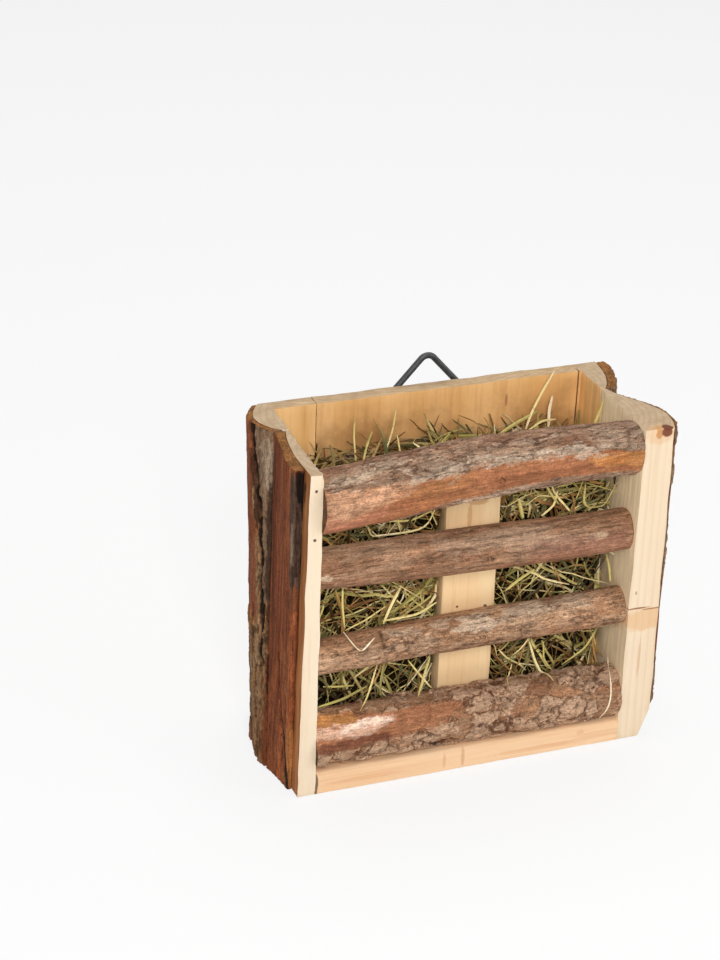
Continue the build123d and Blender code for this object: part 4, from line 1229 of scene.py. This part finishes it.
# long stalks that lie where they can be told apart: width, tone and their course
longStalks = (
    (1.3, 0.75, ((-48, 24, 188), (-49, 22, 178), (-48, 20, 160))),
    (1.4, 0.8, ((-23, 28, 187), (-26, 25, 178), (-32, 22, 163))),
    (2.6, 0.3, ((-37, 26, 185), (-34, 23, 180), (-32, 21, 175), (-30, 18, 160))),
    (1.6, 0.6, ((-39, 20, 180), (-44, 16, 173), (-49, 12, 160))),
    (2.4, 0.3, ((-65, 16, 178), (-64, 13, 174), (-63, 10, 160))),
    (2.4, 0.65, ((62, 29, 175), (48, 28, 169.5), (32, 26, 162))),
    (1.5, 0.85, ((71, 24, 171), (60, 20, 173), (49, 16, 170))),
    (2.0, 0.55, ((62, 30, 176), (60, 25, 170), (58, 20, 160))),
    (2.0, 0.7, ((88, 3, 190), (86, 3, 183), (83, 3, 175), (80, 4, 158))),
    (1.8, 0.4, ((87, 30, 172), (87, 29, 163), (87, 27, 154))),
    (1.6, 0.6, ((4, 16, 175), (-2, 13, 172), (-10, 10, 165))),
    (1.5, 0.9, ((-19, 12, 174), (-13, 8, 170), (-6, 4, 160))),
    (0.9, 0.12, ((13, 26, 180), (20, 19, 179), (29, 12, 168))),
    (1.0, 0.15, ((26, 22, 179), (28, 19, 177), (28, 16, 160))),
    (1.2, 0.7, ((-26, 18, 177), (-25, 12, 160))),
    (1.5, 0.6, ((-8, 14, 174), (-4, 12, 168), (0, 10, 158))),
    (1.8, 0.95, ((71, 31, 197), (63.7, 31, 185), (57.7, 29, 175), (53, 26, 163))),
    (2.2, 1.1, ((71, 31, 182.5), (69, 30, 175), (67.5, 27, 164))),
    (1.4, 0.85, ((-18, -20, 150), (-22, -21, 140), (-33, -22, 140), (-53, -23, 137), (-57, -24, 147))),
    (1.5, 0.7, ((-19, -19, 149), (-32, -20, 146), (-49, -22, 149))),
    (1.9, 0.7, ((69, -21, 153), (68, -22, 140), (80, -23, 137), (87, -24, 154))),
    (1.3, 0.7, ((69, -22, 154), (80, -24, 150), (88, -25, 147))),
    (1.5, 0.9, ((53, -20, 151), (51, -22, 144), (43, -24, 139))),
    (2.6, 0.6, ((31, -20, 149), (32, -21, 143), (33, -22, 137))),
    (1.7, 0.15, ((62, -21, 148), (63, -22, 143), (62, -23, 137))),
    (1.4, 0.85, ((36, -19, 145), (42, -20, 150), (56, -22, 147))),
    (2.0, 0.7, ((43, -20, 104), (32, -22, 100), (24, -24, 96))),
    (1.7, 0.65, ((85, -21, 108), (87, -23, 99), (88, -25, 89))),
    (1.5, 0.15, ((55, -20, 104), (59, -21, 94), (62, -22, 87))),
    (1.5, 0.75, ((-69, -21, 112), (-69, -22, 101), (-68, -24, 89))),
    (2.0, 0.8, ((-35, -20, 106), (-42, -23, 96), (-47, -26, 89))),
    (1.7, 0.75, ((-14, -20, 93), (-25, -22, 89), (-47, -24, 89))),
    (1.6, 0.8, ((-44, -20, 95), (-57, -24, 91), (-69, -27, 89))),
    (1.8, 0.7, ((-16, -20, 59), (-22, -26, 50), (-28, -33, 43))),
    (1.4, 0.8, ((-29, -20, 59), (-23, -22, 50), (-16, -24, 41))),
    (1.5, 0.85, ((-47, -20, 60), (-55, -28, 47), (-63, -37, 41))),
    (2.6, 0.6, ((-84, -30, 46), (-69, -27, 46), (-54, -24, 49))),
    (1.8, 0.65, ((-78, -21, 52), (-70, -22, 51), (-61, -22, 50))),
    (1.8, 0.85, ((43, -20, 60), (46, -24, 45), (51, -34, 34))),
    (1.5, 0.9, ((33, -21, 46), (29, -26, 40), (25, -34, 34))),
    (1.7, 0.2, ((81, -20, 56), (83, -23, 44), (84, -33, 35))),
    (1.8, 0.7, ((85, -20, 60), (77, -22, 50), (62, -24, 42))),
    (1.8, 0.35, ((44, -20, 61), (43, -21, 53), (42, -22, 45))),
    (1.2, 0.15, ((24, -20, 52), (30, -24, 45), (39, -32, 38))),
    (1.5, 0.7, ((52, -20, 57), (52, -22, 46), (56, -25, 40))),
    (1.7, 1.1, ((-72, -32, 91), (-69, -36, 87), (-64, -39, 81), (-56, -37, 88))),
    (1.2, 1.1, ((88, -30, 46), (85, -38, 38), (81, -44, 27), (77, -46, 17))),
)
rodLines = {name: rodMiddle(readPoints(mergedCopy(name))) for name in rodSkins}


def pushOff(points):
    # stalks bend round the rods
    slack, gap = 1.04, 0.9 * mm
    for x, y, z, reach in rodLines.values():
        middle = np.column_stack([np.interp(points[:, 0], x, y), np.interp(points[:, 0], x, z)])
        away = points[:, 1:] - middle
        far = np.linalg.norm(away, axis=1)
        clear = np.interp(points[:, 0], x, reach) * slack + gap
        inside = far < clear
        points[inside, 1:] = (middle + away * (clear / np.maximum(far, 1e-6))[:, None])[inside]
    return points


def clearSlat(mesh, rides):
    # stalks that ride with the hay stay off the centre slat, and the caught ones in front of it
    flatter, narrower = 0.02, 0.05
    points = readPoints(mesh)
    inside = (points[:, 0] > slatLeft) & (points[:, 0] < slatRight)
    if rides == "hay":
        inside &= points[:, 1] < slatRear
        points[inside, 1] = slatRear + (points[inside, 1] - slatRear) * flatter
    else:
        points = pushOff(points)
        inside &= (points[:, 1] > slatFront) & (points[:, 1] < 0)
        near = np.where(points[inside, 0] < (slatLeft + slatRight) / 2, slatLeft, slatRight)
        points[inside, 0] = near + (points[inside, 0] - near) * narrower
    writePoints(mesh, points)


def stalkMesh(name, stalks):
    # each course is rounded off, and carries a flat four-sided stalk that tapers at its ends
    points, faces, tones, alongs = [], [], [], []
    steps, corners = 14, 4
    firstSeed, sway, thinner, half, flatness = 200, 0.35, 0.55, 0.4, 0.42
    for order, (width, tone, course) in enumerate(stalks):
        course = np.array(course, float)
        random = np.random.default_rng(firstSeed + order)
        lengths = np.concatenate([[0], np.cumsum(np.linalg.norm(np.diff(course, axis=0), axis=1))])
        share = np.linspace(0, lengths[-1], steps)
        line = np.column_stack([np.interp(share, lengths, course[:, axis]) for axis in range(3)])
        for _ in range(2):
            line[1:-1] = (line[:-2] + 2 * line[1:-1] + line[2:]) / 4
        line += sway * np.column_stack([np.sin(share / 9 + random.uniform(0, 6, 1)) for _ in range(3)])
        if course[:, 1].max() < 0:
            line = pushOff(line * mm) / mm
        ahead = np.gradient(line, axis=0)
        ahead /= np.linalg.norm(ahead, axis=1)[:, None]
        side = np.cross(ahead, random.normal(size=3) + (0, 3, 0))
        side /= np.linalg.norm(side, axis=1)[:, None]
        out = np.cross(ahead, side)
        base = len(points)
        for at in range(steps):
            taper = 1 - thinner * abs(2 * at / (steps - 1) - 1) ** 4
            thick = half * width * taper
            for corner in range(corners):
                turn = 2 * math.pi * corner / corners + 0.4
                ring = math.cos(turn) * side[at] + flatness * math.sin(turn) * out[at]
                points.append(line[at] + thick * ring)
                tones.append(tone)
                alongs.append(at / (steps - 1))
        for at in range(steps - 1):
            for corner in range(corners):
                other = (corner + 1) % corners
                first, second = base + at * corners, base + (at + 1) * corners
                faces.append((first + corner, second + corner, second + other, first + other))
        faces.append(tuple(base + corner for corner in range(corners)))
        faces.append(tuple(base + (steps - 1) * corners + corner for corner in reversed(range(corners))))
    mesh = bpy.data.meshes.new(name)
    mesh.from_pydata([tuple(p) for p in np.array(points) * mm], [], faces)
    work = bmesh.new()
    work.from_mesh(mesh)
    bmesh.ops.recalc_face_normals(work, faces=work.faces)
    work.to_mesh(mesh)
    work.free()
    keepValues(mesh, "tone", np.array(tones))
    keepValues(mesh, "along", np.array(alongs))
    keepValues(mesh, "deep", np.ones(len(tones)))
    keepValues(mesh, "laid", np.ones(len(tones)))
    return mesh


def shadeCoreMaterial(name):
    # deep inside, the hay is painted nearly black: a painted shadow for the depth of the pile
    material, tree, surface = newMaterial(name, Roughness=0.95, Specular_IOR_Level=0.05)
    place = tree.place()
    strands = tree.noise(place * (1.0, 1.0, 0.25), 420.0, 4.0, 0.65)
    colour = tree.mix(tree.fit(strands, 0.45, 0.7), (22, 15, 6), (66, 52, 24))
    tree.finish(surface, colour, strands, 0.8, 0.001)
    return material


def finishHay(piece, rides):
    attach(piece, rides)
    if rides == "hay":
        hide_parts("hay")
    print(piece.name, len(piece.data.polygons), "faces")


def buildHay():
    inset, unevenness = 6.0, 1.6  # of the dark core within the hay's own shape, in millimetres
    hayLook = hayMaterial("dry_hay")
    core = fineCopy("hay", hayVoxel, 0.0)
    core.name = "hay_core"
    points, normals = readPoints(core.data), readNormals(core.data)
    depth = inset + unevenness * wave(points, 77, 22 * mm)
    writePoints(core.data, points - normals * depth[:, None] * mm)
    core.data.materials.append(shadeCoreMaterial("hay_inside"))
    finishHay(core, "hay")
    for part, bed in hayBed.items():
        piece = newObject("hay_" + part, patchMesh(part, bed["patches"]))
        values = dict(bed["values"], Material=hayLook)
        low, high = hayReach[bed["rides"]]
        values["Low Corner"], values["High Corner"] = low, (high[0], high[1], bed.get("high", high[2]))
        clearSlat(runShape(piece, hayStalkShape, values), bed["rides"])
        finishHay(piece, bed["rides"])
    for part, rides, some in (
        ("tall", "hay", [row for row in longStalks if row[2][0][1] > 0]),
        ("long", "box", [row for row in longStalks if row[2][0][1] < 0]),
    ):
        piece = newObject("hay_" + part, stalkMesh(part, some))
        piece.data.materials.append(hayLook)
        finishHay(piece, rides)


buildHay()


def metalMaterial(name, base, dull, rough, metallic):
    material, tree, surface = newMaterial(name, Roughness=rough, Metallic=metallic)
    place = tree.place()
    cloud = tree.noise(place, 500.0, 4.0, 0.6)
    colour = tree.mix(tree.fit(cloud, 0.42, 0.65), base, dull)
    fine = tree.noise(place, 2600.0, 3.0, 0.6)
    tree.feed(surface.inputs["Roughness"], tree.fit(fine, 0.3, 0.7, to=(rough - 0.08, rough + 0.14)))
    tree.finish(surface, colour, fine, 0.25, 0.0001)
    return material


metalLooks = {
    "nail_steel": {
        "nodes": nailNodes, "base": (120, 112, 104), "dull": (84, 70, 58), "rough": 0.45, "metallic": 0.9,
    },
    "black_wire": {
        "nodes": ("hanger_triangle",), "base": (44, 46, 50), "dull": (62, 62, 64), "rough": 0.4,
        "metallic": 0.0,
    },
    "zinc_sheet": {
        "nodes": ("hanger_strap", "hanger_screws"), "base": (178, 180, 182), "dull": (150, 152, 154),
        "rough": 0.35, "metallic": 0.95,
    },
}
for slotName, look in metalLooks.items():
    metal = metalMaterial(slotName + "_finish", look["base"], look["dull"], look["rough"], look["metallic"])
    for name in look["nodes"]:
        nodes[name].data.materials.clear()
        nodes[name].data.materials.append(metal)
print("metal finished")
